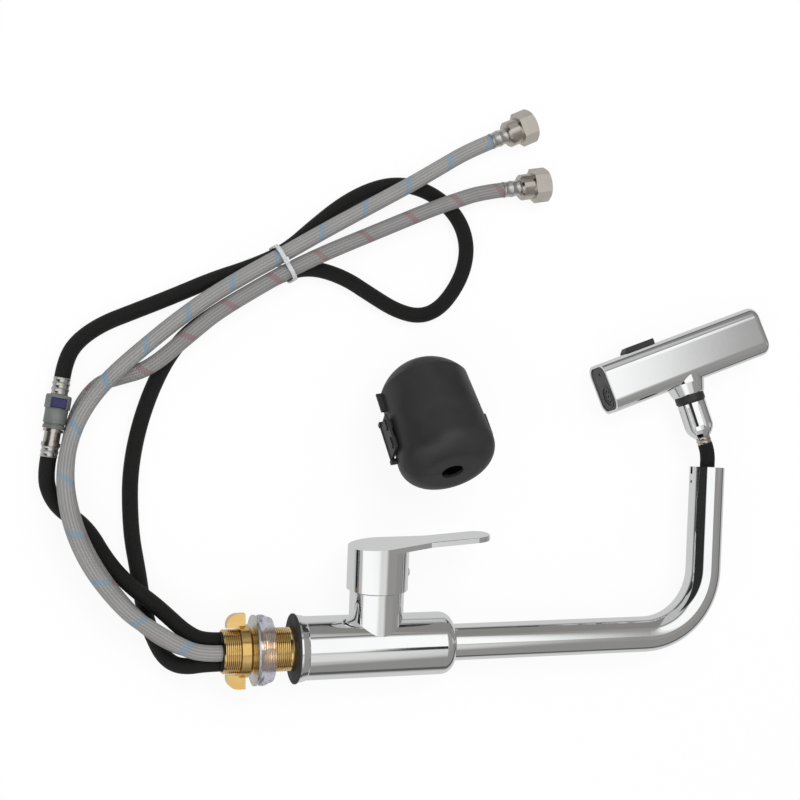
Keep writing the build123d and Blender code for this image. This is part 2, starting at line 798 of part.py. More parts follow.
jetCentre = 12.0
with BuildPart() as sprayFace:
    with BuildSketch(facePlane.offset(faceInset)) as faceOutline:
        RectangleRounded(
            barWidth - 2 * barWall - 2 * coreGap,
            barThick - 2 * barWall - 2 * coreGap,
            barCorner - barWall - coreGap,
        )
        with Locations((aeratorCentre, 0)):
            Circle(aeratorRadius + 0.2, mode=Mode.SUBTRACT)
        with Locations((jetCentre, 0)):
            Circle(1.4, mode=Mode.SUBTRACT)
    extrude(faceOutline.sketch, amount=coreFront - faceInset - seat)
save(sprayFace, "spray_face")

with BuildPart() as aerator:
    with BuildSketch(facePlane.offset(faceInset - 0.5)) as aeratorOutline:
        with Locations((aeratorCentre, 0)):
            Circle(aeratorRadius)
            Circle(aeratorRadius - 1.4, mode=Mode.SUBTRACT)
    extrude(aeratorOutline.sketch, amount=coreFront - faceInset + 0.5 - seat)
    with BuildSketch(facePlane.offset(faceInset + 0.6)) as mesh:
        with Locations((aeratorCentre, 0)):
            Circle(aeratorRadius - 1.3)
            with PolarLocations(4.6, 8):
                Circle(1.0, mode=Mode.SUBTRACT)
            Circle(1.2, mode=Mode.SUBTRACT)
    extrude(mesh.sketch, amount=1.6)
save(aerator, "aerator")

# Free hoses, as chosen points from the shank's foot to their fittings
topLayer = floorZ + hoseRadius + 24.4
midLayer = floorZ + hoseRadius + 12.2
low = floorZ + hoseRadius
nutZ = floorZ + hexFlats / 2
plugZ = floorZ + 10.0

coldNutCentre = Vector(189.5, 405.5, nutZ)
coldHeading = Vector(cos(radians(24)), sin(radians(24)), 0)
hotNutCentre = Vector(201.5, 361.0, nutZ)
hotHeading = Vector(cos(radians(9.5)), sin(radians(9.5)), 0)
toNut = nutLength / 2 + ferruleLength
coldEnd = coldNutCentre - coldHeading * toNut
hotEnd = hotNutCentre - hotHeading * toNut

plugHeading = Vector(-sin(radians(9.5)), -cos(radians(9.5)), 0)
plugStart = Vector(-169.0, 203.0, plugZ)
plugLength = 59.0
plugEnd = plugStart + plugHeading * plugLength

coldRoute = [
    (hoseStart, 0, hosePitch),
    (-71, 0, hosePitch),
    (-87, 7, 6.8),
    (-103, 17, topLayer),
    (-121, 29, topLayer),
    (-137, 46.5, topLayer),
    (-151, 66, topLayer),
    (-161, 87, topLayer),
    (-167, 108, topLayer),
    (-169, 130, 0),
    (-165.5, 152, -6.5),
    (-159, 171, midLayer),
    (-147.5, 190, midLayer),
    (-131, 208, midLayer),
    (-110, 226.5, midLayer),
    (-88, 245, midLayer),
    (-62, 264.5, midLayer),
    (-33, 282.5, midLayer + 1.0),
    (-4, 299, midLayer + 1.8),
    (28, 318, midLayer + 1.0),
    (62, 337, midLayer),
    (96, 356, midLayer),
    (120, 370.5, midLayer),
    (145.4, 385.9, nutZ),
    coldEnd,
]
hotRoute = [
    (hoseStart, 0, -hosePitch),
    (-71, 0, -hosePitch),
    (-87, 5, midLayer),
    (-102, 14, midLayer),
    (-118, 28, midLayer),
    (-134, 47, midLayer),
    (-147, 66, midLayer),
    (-157, 86, midLayer),
    (-163, 104, midLayer + 0.7),
    (-166.5, 124, -12.5),
    (-165.5, 143, -19),
    (-162.5, 159.5, low),
    (-158.5, 174.5, low),
    (-151.5, 188.5, low),
    (-140.5, 200, low),
    (-126, 204.5, -20),
    (-110.7, 208.7, -12),
    (-97, 218, midLayer),
    (-83, 230.3, midLayer),
    (-69.3, 242, midLayer),
    (-55.5, 253.3, midLayer),
    (-26.5, 271.5, midLayer + 1.0),
    (2.5, 288.3, midLayer + 1.8),
    (31, 302, midLayer + 1.0),
    (61, 315, midLayer),
    (92, 328.5, midLayer),
    (118, 339.5, midLayer),
    (137, 346.5, midLayer),
    (156.5, 353.5, nutZ),
    hotEnd,
]
outletRoute = [
    (hoseStart, hosePitch, 0),
    (-68, hosePitch, 0),
    (-80.5, 15.5, -3.5),
    (-92, 26.5, -8),
    (-103.5, 37, midLayer),
    (-116, 46.5, midLayer),
    (-129, 59, -14),
    (-139, 73, low),
    (-147, 87, low),
    (-157, 98, low),
    (-169, 105.5, low),
    (-177.5, 117, -19),
    (-181, 131, plugZ),
    plugEnd,
]
pulloutRoute = [
    (hoseStart, -hosePitch, 0),
    (-67, -hosePitch, 0),
    (-78, -10.5, -4),
    (-87.5, -9.5, -11),
    (-95, -3, -17.5),
    (-100.5, 8, low),
    (-106, 22, low),
    (-110, 40, low),
    (-113, 60, low),
    (-117.5, 84, low),
    (-119, 107, low),
    (-119, 129, low),
    (-116, 152, low),
    (-110, 176, low),
    (-101, 200, low),
    (-90, 221, low),
    (-76, 238.5, low),
    (-55.5, 253.5, low),
    (-27, 271, low + 1.0),
    (-2, 285.5, low + 1.7),
    (20, 290.5, low + 1.0),
    (46, 283.5, low),
    (68, 270, low),
    (88, 258.5, low),
    (107, 254, low),
    (123, 260, low),
    (136, 275, low),
    (145, 293, low),
    (147.5, 312, low),
    (142, 330, low),
    (129, 345, low),
    (110, 355.5, low),
    (88, 358.5, low),
    (66, 352.5, low),
    (44, 340, low),
    (22, 322, low + 1.0),
    (-1, 301.5, low + 1.7),
    (-28, 289, low + 1.0),
    (-57, 279, low),
    (-87, 265.5, low),
    (-117, 253, low),
    (-140, 243.5, low),
    (-157.5, 231, -20),
    (-166.7, 216.8, plugZ),
    plugStart,
]


def freeHose(label, route):
    # Straight runs joined by the largest arcs that they allow; prints radii and the volume's error.
    points = [Vector(*p) if isinstance(p, tuple) else p for p in route]
    radii = []
    for before, here, after in zip(points, points[1:], points[2:]):
        half = radians((here - before).get_angle(after - here)) / 2
        radii.append(0.45 * min((here - before).length, (after - here).length) / tan(half))
    with BuildPart() as tube:
        with BuildLine() as path:
            FilletPolyline(*points, radius=radii)
        wire = path.wires()[0]
        hose(wire @ 0, wire % 0, hoseRadius, wire)
    runs = [(b - a).length for a, b in zip(points, points[1:])]
    steps = [max(a / b, b / a) for a, b in zip(runs, runs[1:])]
    exact = pi * hoseRadius**2 * wire.length
    print(label, "length", round(wire.length), "smallest radius", round(min(radii)), "longest run",
          round(max(runs)), "steepest step", round(max(steps), 2), "volume share",
          round(tube.part.volume / exact, 5))
    save(tube, label)


freeHose("cold_supply_hose", coldRoute)
freeHose("hot_supply_hose", hotRoute)
freeHose("outlet_hose", outletRoute)
freeHose("pullout_hose", pulloutRoute)

# Supply ends: crimped ferrule, nipple, washer and a loose nut
nipple = 5.2
ends = [(coldNutCentre, coldHeading, "cold_nut"), (hotNutCentre, hotHeading, "hot_nut")]
nutFoot = -nutLength / 2
seatAlong = nutLength / 2 - nutBoreDepth
for middle, heading, label in ends:
    nutPlane = Plane(origin=middle, x_dir=heading, z_dir=(0, 0, 1))
    hexFoot = nutLength / 2 - hexLength
    hexPlane = Plane(origin=middle + heading * hexFoot, x_dir=heading.cross(Vector(0, 0, 1)), z_dir=heading)
    with BuildPart() as supplyNut:
        with BuildSketch(hexPlane) as hexagon:
            RegularPolygon(radius=hexFlats / 2, side_count=6, major_radius=False)
        extrude(hexagon.sketch, amount=hexLength)
        corners = hexFlats / sqrt(3)
        turn(
            nutPlane,
            (nutLength / 2 - 1.2, corners + 0.2),
            (nutLength / 2 + 0.1, corners - 2.2),
            (nutLength / 2 + 0.1, corners + 0.2),
            mode=Mode.SUBTRACT,
        )
        turn(
            nutPlane,
            (nutFoot, nipple + 0.2),
            (nutFoot, nutCollar - 1.5),
            (nutFoot + 1.5, nutCollar),
            (hexFoot + 0.5, nutCollar),
            (hexFoot + 0.5, nipple + 0.2),
        )
        rod(middle + heading * nutFoot, middle + heading * nutLength, nipple + 0.2, Mode.SUBTRACT)
        rod(middle + heading * seatAlong, middle + heading * nutLength, nutBore, Mode.SUBTRACT)
        reliefEnd = middle + heading * (seatAlong + nutRelief)
        rod(middle + heading * seatAlong, reliefEnd, nutBore + 0.5, Mode.SUBTRACT)
    save(supplyNut, label)

with BuildPart() as supplyNipples:
    for middle, heading, label in ends:
        nutPlane = Plane(origin=middle, x_dir=heading, z_dir=(0, 0, 1))
        turn(
            nutPlane,
            (nutFoot + seat, 3.2),
            (nutFoot + seat, nipple),
            (seatAlong + 0.1, nipple),
            (seatAlong + 0.1, nutBore - 0.4),
            (seatAlong + 2.2, nutBore - 0.4),
            (seatAlong + 2.2, 3.2),
        )
save(supplyNipples, "supply_nipples")

with BuildPart() as nutWashers:
    for middle, heading, label in ends:
        nutPlane = Plane(origin=middle, x_dir=heading, z_dir=(0, 0, 1))
        turn(
            nutPlane,
            (seatAlong + 2.3, 5.0),
            (seatAlong + 2.3, nutBore - 0.3),
            (seatAlong + 4.3, nutBore - 0.3),
            (seatAlong + 4.3, 5.0),
        )
save(nutWashers, "nut_washers")

# Ferrules where the hoses end: two at the supply nuts, two at the quick connector
plugPlane = Plane(origin=plugStart, x_dir=plugHeading, z_dir=(0, 0, 1))
outletFerrule = 8.0
ferrules = [
    (Plane(origin=coldEnd, x_dir=coldHeading, z_dir=(0, 0, 1)), ferruleLength),
    (Plane(origin=hotEnd, x_dir=hotHeading, z_dir=(0, 0, 1)), ferruleLength),
    (plugPlane, ferruleLength - 1),
    (Plane(origin=plugEnd - plugHeading * outletFerrule, x_dir=plugHeading, z_dir=(0, 0, 1)), outletFerrule),
]
with BuildPart() as hoseFerrules:
    for plane, length in ferrules:
        turn(
            plane,
            (seat, 0),
            (seat, ferruleRadius - 0.4),
            (0.8, ferruleRadius),
            (length * 0.3, ferruleRadius),
            (length * 0.38, ferruleRadius - 0.5),
            (length * 0.62, ferruleRadius - 0.5),
            (length * 0.7, ferruleRadius),
            (length - 0.8, ferruleRadius),
            (length - seat, ferruleRadius - 0.4),
            (length - seat, 0),
        )
save(hoseFerrules, "hose_ferrules")

# Quick connector: socket with a release button, and the nickel plug in it
socketStart = ferruleLength - 1
flangeEnd = socketStart + 10.0
socketEnd = socketStart + 25.0
plugTip = flangeEnd + 3.0
with BuildPart() as quickConnector:
    turn(
        plugPlane,
        (socketStart, 3.0),
        (socketStart, 8.6),
        (socketStart + 1, 9.4),
        (flangeEnd, 9.4),
        (flangeEnd, 8.4),
        (socketEnd - 4, 8.4),
        (socketEnd - 4, 7.6),
        (socketEnd - 2.5, 7.6),
        (socketEnd - 2.5, 8.2),
        (socketEnd, 8.2),
        (socketEnd, 5.6),
        (plugTip - 1, 5.6),
        (plugTip - 1, 3.0),
    )
    pressPlane = Plane(
        origin=plugStart + plugHeading * (socketStart + 6.0), x_dir=plugHeading, z_dir=(0, 0, 1)
    )
    plank(pressPlane, 7.4, 11.4, 12, Mode.SUBTRACT)
save(quickConnector, "quick_connector")

with BuildPart() as connectorButton:
    plank(pressPlane.offset(6.0), 7.0, 11.0, 4.6)
    fillet(connectorButton.faces().sort_by(Axis.Z)[-1].edges(), 1.0)
save(connectorButton, "connector_button")

with BuildPart() as connectorPlug:
    turn(
        plugPlane,
        (plugTip, 3.0),
        (plugTip, 5.3),
        (socketEnd + 0.3, 5.3),
        (socketEnd + 0.3, 7.4),
        (socketEnd + 2.3, 7.4),
        (socketEnd + 2.3, 6.0),
        (plugLength - outletFerrule - 3, 6.0),
        (plugLength - outletFerrule - 3, 7.0),
        (plugLength - outletFerrule - seat, 7.0),
        (plugLength - outletFerrule - seat, 3.0),
    )
save(connectorPlug, "connector_plug")

# Cable tie round the four strands
tieMiddle = (-5.0, 292.7, 0)
tiePlane = Plane(origin=tieMiddle, x_dir=(0.5088, -0.8609, 0), z_dir=(0.8609, 0.5088, 0))
tieBand = 1.2
tieWidth = 3.2
tieLock = 4.2
tieLeft = -14.2
tieRight = 16.8
tieLow = floorZ
tieHigh = midLayer + hoseRadius + 3.6
with BuildPart() as cableTie:
    with BuildSketch(tiePlane) as band:
        with Locations(((tieLeft + tieRight) / 2, (tieLow + tieHigh) / 2 * tiePlane.y_dir.Z)):
            RectangleRounded(tieRight - tieLeft, tieHigh - tieLow, 7.2)
            RectangleRounded(tieRight - tieLeft - 2 * tieBand, tieHigh - tieLow - 2 * tieBand, 6.0, mode=Mode.SUBTRACT)
    extrude(band.sketch, amount=tieWidth / 2, both=True)
    lockPlane = Plane(origin=(*tieMiddle[:2], tieHigh - 0.2), z_dir=(0, 0, 1), x_dir=(0.5088, -0.8609, 0))
    plank(lockPlane, tieLock, tieLock, 2.6)
save(cableTie, "cable_tie")

# Weight: a two-shell barrel for the pull-out hose, leaning on its domed narrow end
weightYaw = 8.0
weightRise = 32.8
narrowRadius = 35.1
wideRadius = 37.7
taperStart = 21.2
taperEnd = 79.5
weightEnd = 98.0
endFlat = 20.7
shellWall = 2.5
holeRadius = 8.5
coreBore = 26.0
coreLength = 93.0
restX = 105.7
restY = 181.8
partingGap = 0.2
towardWide = Vector(
    sin(radians(weightYaw)) * cos(radians(weightRise)),
    -cos(radians(weightYaw)) * cos(radians(weightRise)),
    sin(radians(weightRise)),
)
domeRadius = (narrowRadius**2 + taperStart**2) / (2 * taperStart)
domeTurn = asin(narrowRadius / domeRadius)
weightTip = Vector(restX, restY, floorZ + domeRadius + 0.05) - towardWide * domeRadius
aside = Vector(cos(radians(weightYaw)), sin(radians(weightYaw)), 0)
shellUp = aside.cross(towardWide * -1)
weightPlane = Plane(origin=weightTip, x_dir=towardWide, z_dir=shellUp)
barrelAxis = Axis(weightTip, towardWide)


def weightAt(along, out, up):
    return weightTip + towardWide * along + aside * out + shellUp * up


def domeAt(turned, inset):
    return (domeRadius - (domeRadius - inset) * cos(turned), (domeRadius - inset) * sin(turned))


def barrel(inset):
    # The barrel's outline, drawn in by a wall.
    with BuildSketch(weightPlane) as outline:
        with BuildLine():
            Line((inset, 0), (weightEnd - inset, 0))
            Line((weightEnd - inset, 0), (weightEnd - inset, endFlat))
            TangentArc((weightEnd - inset, endFlat), (taperEnd, wideRadius - inset), tangent=(0, 1))
            Line((taperEnd, wideRadius - inset), domeAt(domeTurn, inset))
            ThreePointArc(domeAt(domeTurn, inset), domeAt(domeTurn / 2, inset), (inset, 0))
        make_face()
    return outline.sketch


# Hinge on the right, latch on the left
hingeAlong = 62.0
knuckleRadius = 1.8
knuckleGap = 0.2
knuckleLength = 6.0
hingePin = 0.8
hingeOut = wideRadius + knuckleRadius - 0.1
latchAlong = 60.0
latchLength = 30.0
latchInner = wideRadius + 0.6
latchThick = 2.0
latchPivot = -9.0
latchTop = 9.0
catchLow = 3.0
catchHigh = 6.0
catchLength = 8.0
catchSpread = 16.0
catchGap = 0.6
lugThick = 3.0
tabAlong = latchAlong - latchLength
latchMiddle = latchInner + latchThick / 2
step = knuckleLength + knuckleGap


def block(along, out, up, length, width, height, mode=Mode.ADD):
    # A block in the weight's own directions, about its centre.
    plane = Plane(origin=weightAt(along, out, up - height / 2), x_dir=towardWide, z_dir=shellUp)
    plank(plane, length, width, height, mode)


def knuckle(offset, side):
    # One hinge barrel with its web on the shell.
    block(hingeAlong + offset, hingeOut - 1.6, side * 0.85, knuckleLength, 4.0, 1.5)
    rod(
        weightAt(hingeAlong + offset - knuckleLength / 2, hingeOut, 0),
        weightAt(hingeAlong + offset + knuckleLength / 2, hingeOut, 0),
        knuckleRadius,
    )


halves = [
    ("weight_lower_shell", Keep.BOTTOM, -1, (-step, step)),
    ("weight_upper_shell", Keep.TOP, 1, (0,)),
]
for label, keep, side, knuckles in halves:
    with BuildPart() as shell:
        revolve(barrel(0), axis=barrelAxis)
        split(bisect_by=weightPlane.offset(side * partingGap / 2), keep=keep)
        for offset in knuckles:
            knuckle(offset, side)
        if side < 0:
            for lug in (-1, 1):
                lugAlong = latchAlong + lug * (latchLength / 2 + lugThick / 2 + knuckleGap)
                block(lugAlong, -(latchMiddle - 1.2), latchPivot, lugThick, 6.4, 4.4)
        else:
            for catch in (-1, 1):
                catchAlong = latchAlong + catch * catchSpread / 2
                catchUp = (catchLow + catchHigh) / 2
                block(catchAlong, -(latchMiddle - 0.8), catchUp, catchLength, 5.6, catchHigh - catchLow)
            block(tabAlong, -(wideRadius - 0.6), 1.2, 16.0, 5.0, 2.0)
        revolve(barrel(shellWall), axis=barrelAxis, mode=Mode.SUBTRACT)
        rod(weightAt(-2, 0, 0), weightAt(weightEnd + 2, 0, 0), holeRadius, Mode.SUBTRACT)
        rod(
            weightAt(hingeAlong - 3 * step, hingeOut, 0),
            weightAt(hingeAlong + 3 * step, hingeOut, 0),
            hingePin + fit,
            Mode.SUBTRACT,
        )
        rod(
            weightAt(latchAlong - latchLength, -latchMiddle, latchPivot),
            weightAt(latchAlong + latchLength, -latchMiddle, latchPivot),
            hingePin + fit,
            Mode.SUBTRACT,
        )
    save(shell, label)

for label, keep, side in [("weight_lower_core", Keep.BOTTOM, -1), ("weight_upper_core", Keep.TOP, 1)]:
    with BuildPart() as core:
        revolve(barrel(shellWall + 0.3), axis=barrelAxis)
        rod(weightAt(-2, 0, 0), weightAt(weightEnd + 2, 0, 0), coreBore, Mode.SUBTRACT)
        split(bisect_by=weightPlane.offset(side * 0.6), keep=keep)
        split(bisect_by=Plane(origin=weightAt(coreLength, 0, 0), z_dir=towardWide), keep=Keep.BOTTOM)
    save(core, label)

with BuildPart() as weightHingePin:
    rod(
        weightAt(hingeAlong - 1.5 * step + 0.2, hingeOut, 0),
        weightAt(hingeAlong + 1.5 * step - 0.2, hingeOut, 0),
        hingePin,
    )
save(weightHingePin, "weight_hinge_pin")

with BuildPart() as weightLatch:
    block(latchAlong, -latchMiddle, (latchPivot + latchTop) / 2, latchLength, latchThick, latchTop - latchPivot)
    rod(
        weightAt(latchAlong - latchLength / 2, -latchMiddle, latchPivot),
        weightAt(latchAlong + latchLength / 2, -latchMiddle, latchPivot),
        knuckleRadius,
    )
    rod(
        weightAt(latchAlong - latchLength / 2 - lugThick, -latchMiddle, latchPivot),
        weightAt(latchAlong + latchLength / 2 + lugThick, -latchMiddle, latchPivot),
        hingePin,
    )
    for catch in (-1, 1):
        block(
            latchAlong + catch * catchSpread / 2,
            -latchMiddle,
            (catchLow + catchHigh) / 2,
            catchLength + 2 * catchGap,
            3 * latchThick,
            catchHigh - catchLow + 2 * catchGap,
            Mode.SUBTRACT,
        )
save(weightLatch, "weight_latch")
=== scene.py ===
import bmesh
import bpy
from math import cos, pi, radians, sin
from mathutils import Matrix, Vector


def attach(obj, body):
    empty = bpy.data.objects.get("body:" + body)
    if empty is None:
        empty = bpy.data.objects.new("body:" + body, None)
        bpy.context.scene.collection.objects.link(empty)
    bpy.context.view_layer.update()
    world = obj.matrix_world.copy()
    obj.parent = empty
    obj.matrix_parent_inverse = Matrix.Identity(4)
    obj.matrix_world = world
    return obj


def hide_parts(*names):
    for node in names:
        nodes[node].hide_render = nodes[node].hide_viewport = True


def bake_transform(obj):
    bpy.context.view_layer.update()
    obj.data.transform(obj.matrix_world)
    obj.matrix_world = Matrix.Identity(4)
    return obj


# A pull-out mixer tap that lies on a pale table, in metres and in the frame of its CAD model.
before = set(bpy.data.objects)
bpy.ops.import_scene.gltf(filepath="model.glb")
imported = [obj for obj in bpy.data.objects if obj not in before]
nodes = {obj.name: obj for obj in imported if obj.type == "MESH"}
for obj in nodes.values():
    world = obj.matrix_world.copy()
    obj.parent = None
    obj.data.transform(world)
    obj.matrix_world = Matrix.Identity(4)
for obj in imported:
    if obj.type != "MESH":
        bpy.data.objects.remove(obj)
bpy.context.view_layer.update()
scene = bpy.context.scene
scene.view_settings.view_transform = "Standard"
print("frame loaded:", len(nodes), "nodes")

# Camera, set from the photograph's own perspective. Its turn is an axis times an angle in radians.
cameraView = {
    "place": (-0.2652, 0.1607, 1.1449),
    "turn": (0.0226, -0.2969, 0.0024),
    "lens": 69.86,
    "sensor": 36,
}
lens = bpy.data.cameras.new("camera")
lens.lens = cameraView["lens"]
lens.sensor_width = cameraView["sensor"]
camera = bpy.data.objects.new("camera", lens)
camera.location = cameraView["place"]
turned = Vector(cameraView["turn"])
camera.rotation_mode = "QUATERNION"
camera.rotation_quaternion = Matrix.Rotation(turned.length, 3, turned.normalized()).to_quaternion()
scene.collection.objects.link(camera)
scene.camera = camera


def addPiece(name, mesh, material=None):
    piece = bpy.data.objects.new(name, mesh)
    scene.collection.objects.link(piece)
    if material:
        mesh.materials.clear()
        mesh.materials.append(material)
    return piece


# Shader helpers: nodes by type, with their settings and their inputs' values
def addNode(tree, kind, settings=(), values=()):
    made = tree.nodes.new(kind)
    for name, value in dict(settings).items():
        setattr(made, name, value)
    for socket, value in dict(values).items():
        made.inputs[socket].default_value = value
    return made


def calc(tree, operation, first, second=None, third=None):
    # One Math node. Numbers become values, sockets become links.
    made = addNode(tree, "ShaderNodeMath", {"operation": operation})
    for index, item in enumerate((first, second, third)):
        if item is None:
            continue
        if isinstance(item, (int, float)):
            made.inputs[index].default_value = item
        else:
            tree.links.new(item, made.inputs[index])
    return made.outputs[0]


def mapRange(tree, source, ends, low, high, settings=()):
    # Takes a value between the two ends to one between low and high
    made = addNode(tree, "ShaderNodeMapRange", settings, {1: ends[0], 2: ends[1], 3: low, 4: high})
    tree.links.new(source, made.inputs[0])
    return made.outputs[0]


def mixShader(tree, share, first, second):
    made = tree.nodes.new("ShaderNodeMixShader")
    for index, item in enumerate((share, first, second)):
        tree.links.new(item, made.inputs[index])
    return made.outputs[0]


def mixColour(tree, amount, first, second):
    # The Mix node takes its colours at sockets 6 and 7 and gives the mixed one at output 2
    made = addNode(tree, "ShaderNodeMix", {"data_type": "RGBA"})
    tree.links.new(amount, made.inputs["Factor"])
    for socket, item in ((made.inputs[6], first), (made.inputs[7], second)):
        if isinstance(item, (tuple, list)):
            socket.default_value = (*item, 1)
        else:
            tree.links.new(item, socket)
    return made.outputs[2]


def newGroup(name, inputs, outputs, treeKind="ShaderNodeTree"):
    # A node group with its sockets: label, kind and value of each input, label and kind of each output
    group = bpy.data.node_groups.new(name, treeKind)
    for label, kind, value in inputs:
        socket = group.interface.new_socket(name=label, in_out="INPUT", socket_type=kind)
        if value is not None:
            socket.default_value = value
    for label, kind in outputs:
        group.interface.new_socket(name=label, in_out="OUTPUT", socket_type=kind)
    return group, group.nodes.new("NodeGroupInput"), group.nodes.new("NodeGroupOutput")


def makeHandling():
    # Broad smudges and fine grain from handling and polishing
    group, start, end = newGroup(
        "handling",
        [
            ("Smudge Scale", "NodeSocketFloat", 20),
            ("Grain Scale", "NodeSocketFloat", 900),
            ("Stretch", "NodeSocketVector", (1, 1, 1)),
        ],
        [("Smudge", "NodeSocketFloat"), ("Grain", "NodeSocketFloat")],
    )
    place = addNode(group, "ShaderNodeTexCoord")
    stretch = addNode(group, "ShaderNodeVectorMath", {"operation": "MULTIPLY"})
    group.links.new(place.outputs["Object"], stretch.inputs[0])
    group.links.new(start.outputs["Stretch"], stretch.inputs[1])
    smudgeValues = {"Detail": 3, "Roughness": 0.55, "Distortion": 0.6}
    smudge = addNode(group, "ShaderNodeTexNoise", values=smudgeValues)
    group.links.new(place.outputs["Object"], smudge.inputs["Vector"])
    group.links.new(start.outputs["Smudge Scale"], smudge.inputs["Scale"])
    grain = addNode(group, "ShaderNodeTexNoise", values={"Detail": 2, "Roughness": 0.6})
    group.links.new(stretch.outputs[0], grain.inputs["Vector"])
    group.links.new(start.outputs["Grain Scale"], grain.inputs["Scale"])
    group.links.new(smudge.outputs[0], end.inputs["Smudge"])
    group.links.new(grain.outputs[0], end.inputs["Grain"])
    return group


# Exponents that set how full the strands are, and how narrow the rows and channels between them
braidShape = {"strand": 0.6, "row": 3, "channel": 5}


def makeBraid():
    # Two families of helical strands that pass over and under each other.
    # The map gives the share round the hose and the metres along it.
    results = ("Height", "Gap", "Tracer", "Lengthwise", "Channel", "Thread")
    group, start, end = newGroup(
        "braid",
        [
            ("Strands", "NodeSocketFloat", 12),
            ("Pitch", "NodeSocketFloat", 0.04),
            ("Threads", "NodeSocketFloat", 4),
            ("Hand", "NodeSocketFloat", 1),
            ("Marked", "NodeSocketFloat", 3.5),
        ],
        [(label, "NodeSocketFloat") for label in results],
    )
    place = addNode(group, "ShaderNodeUVMap", {"uv_map": "hoseMap"})
    parts = addNode(group, "ShaderNodeSeparateXYZ")
    group.links.new(place.outputs[0], parts.inputs[0])
    count = start.outputs["Strands"]
    handed = calc(group, "MULTIPLY", parts.outputs[0], start.outputs["Hand"])
    around = calc(group, "MULTIPLY", handed, count)
    pitches = calc(group, "DIVIDE", parts.outputs[1], start.outputs["Pitch"])
    advance = calc(group, "MULTIPLY", pitches, count)
    right = calc(group, "ADD", around, advance)
    left = calc(group, "SUBTRACT", around, advance)
    cells = calc(group, "ADD", calc(group, "FLOOR", right), calc(group, "FLOOR", left))
    rightOver = calc(group, "FLOORED_MODULO", cells, 2)
    bulges = []
    threads = []
    for family in (right, left):
        across = calc(group, "FRACT", family)
        bulges.append(calc(group, "SINE", calc(group, "MULTIPLY", across, pi)))
        combed = calc(group, "MULTIPLY", calc(group, "MULTIPLY", across, start.outputs["Threads"]), 2 * pi)
        threads.append(calc(group, "MULTIPLY_ADD", calc(group, "COSINE", combed), -0.5, 0.5))
    product = calc(group, "MULTIPLY", bulges[0], bulges[1])
    height = calc(group, "POWER", product, braidShape["strand"])
    thread = addNode(group, "ShaderNodeMix", {"data_type": "FLOAT"})
    group.links.new(rightOver, thread.inputs[0])
    group.links.new(threads[1], thread.inputs[2])
    group.links.new(threads[0], thread.inputs[3])
    # The marked strands of the right-hand family show where they pass over, on every second turn
    strand = calc(group, "FLOORED_MODULO", calc(group, "FLOOR", right), count)
    marked = calc(group, "LESS_THAN", strand, start.outputs["Marked"])
    turn = calc(group, "FLOOR", calc(group, "DIVIDE", calc(group, "FLOOR", right), count))
    everySecond = calc(group, "FLOORED_MODULO", turn, 2)
    tracer = calc(group, "MULTIPLY", calc(group, "MULTIPLY", marked, rightOver), everySecond)
    wave = calc(group, "COSINE", calc(group, "MULTIPLY", around, 2 * pi))
    row = calc(group, "MULTIPLY_ADD", wave, 0.5, 0.5)
    channel = calc(group, "SUBTRACT", 1.0, row)
    group.links.new(height, end.inputs["Height"])
    group.links.new(calc(group, "SUBTRACT", 1.0, height), end.inputs["Gap"])
    group.links.new(tracer, end.inputs["Tracer"])
    group.links.new(calc(group, "POWER", row, braidShape["row"]), end.inputs["Lengthwise"])
    group.links.new(calc(group, "POWER", channel, braidShape["channel"]), end.inputs["Channel"])
    group.links.new(thread.outputs[0], end.inputs["Thread"])
    return group


handling = makeHandling()
braid = makeBraid()


def newMaterial(name):
    material = bpy.data.materials.new(name)
    material.use_nodes = True
    tree = material.node_tree
    return material, tree, tree.nodes["Principled BSDF"]


# The smudges' values lie mostly between these two
smudgeSpan = (0.3, 0.7)


def makeFinish(name, look):
    # A solid finish: two close colours, roughness from smudges and relief from grain
    material, tree, shader = newMaterial(name)
    wear = addNode(tree, "ShaderNodeGroup", {"node_tree": handling}, {
        "Smudge Scale": look["smudgeScale"],
        "Grain Scale": look["grainScale"],
        "Stretch": look.get("stretch", (1, 1, 1)),
    })
    tint = addNode(tree, "ShaderNodeValToRGB")
    stops = tint.color_ramp.elements
    for index, shade in enumerate((look["shade"], look["base"])):
        stops[index].position = smudgeSpan[index]
        stops[index].color = (*shade, 1)
    tree.links.new(wear.outputs["Smudge"], tint.inputs[0])
    colour = tint.outputs[0]
    if "grooves" in look:
        # Painted shade: dark lines at the bottom of each thread groove, which run round the X axis
        grooves = look["grooves"]
        place = addNode(tree, "ShaderNodeTexCoord")
        parts = addNode(tree, "ShaderNodeSeparateXYZ")
        tree.links.new(place.outputs["Object"], parts.inputs[0])
        fromGroove = calc(tree, "SUBTRACT", parts.outputs[0], grooves["offset"])
        wave = calc(tree, "COSINE", calc(tree, "MULTIPLY", fromGroove, 2 * pi / grooves["pitch"]))
        depth = calc(tree, "POWER", calc(tree, "MULTIPLY_ADD", wave, 0.5, 0.5), 2)
        amount = calc(tree, "MULTIPLY", depth, grooves["strength"])
        colour = mixColour(tree, amount, colour, grooves["colour"])
    tree.links.new(colour, shader.inputs["Base Color"])
    rough = mapRange(tree, wear.outputs["Smudge"], smudgeSpan, look["roughLow"], look["roughHigh"])
    tree.links.new(rough, shader.inputs["Roughness"])
    relief = addNode(tree, "ShaderNodeBump", values={"Strength": look["bump"], "Distance": look["depth"]})
    tree.links.new(wear.outputs["Grain"], relief.inputs["Height"])
    tree.links.new(relief.outputs[0], shader.inputs["Normal"])
    shader.inputs["Metallic"].default_value = look.get("metallic", 0)
    shader.inputs["Transmission Weight"].default_value = look.get("clear", 0)
    shader.inputs["IOR"].default_value = look.get("bend", 1.5)
    return material


# Depth of the braid's relief, and the share by which the grooves between its threads lower it
braidRelief = {"depth": 0.0005, "threads": -0.25}


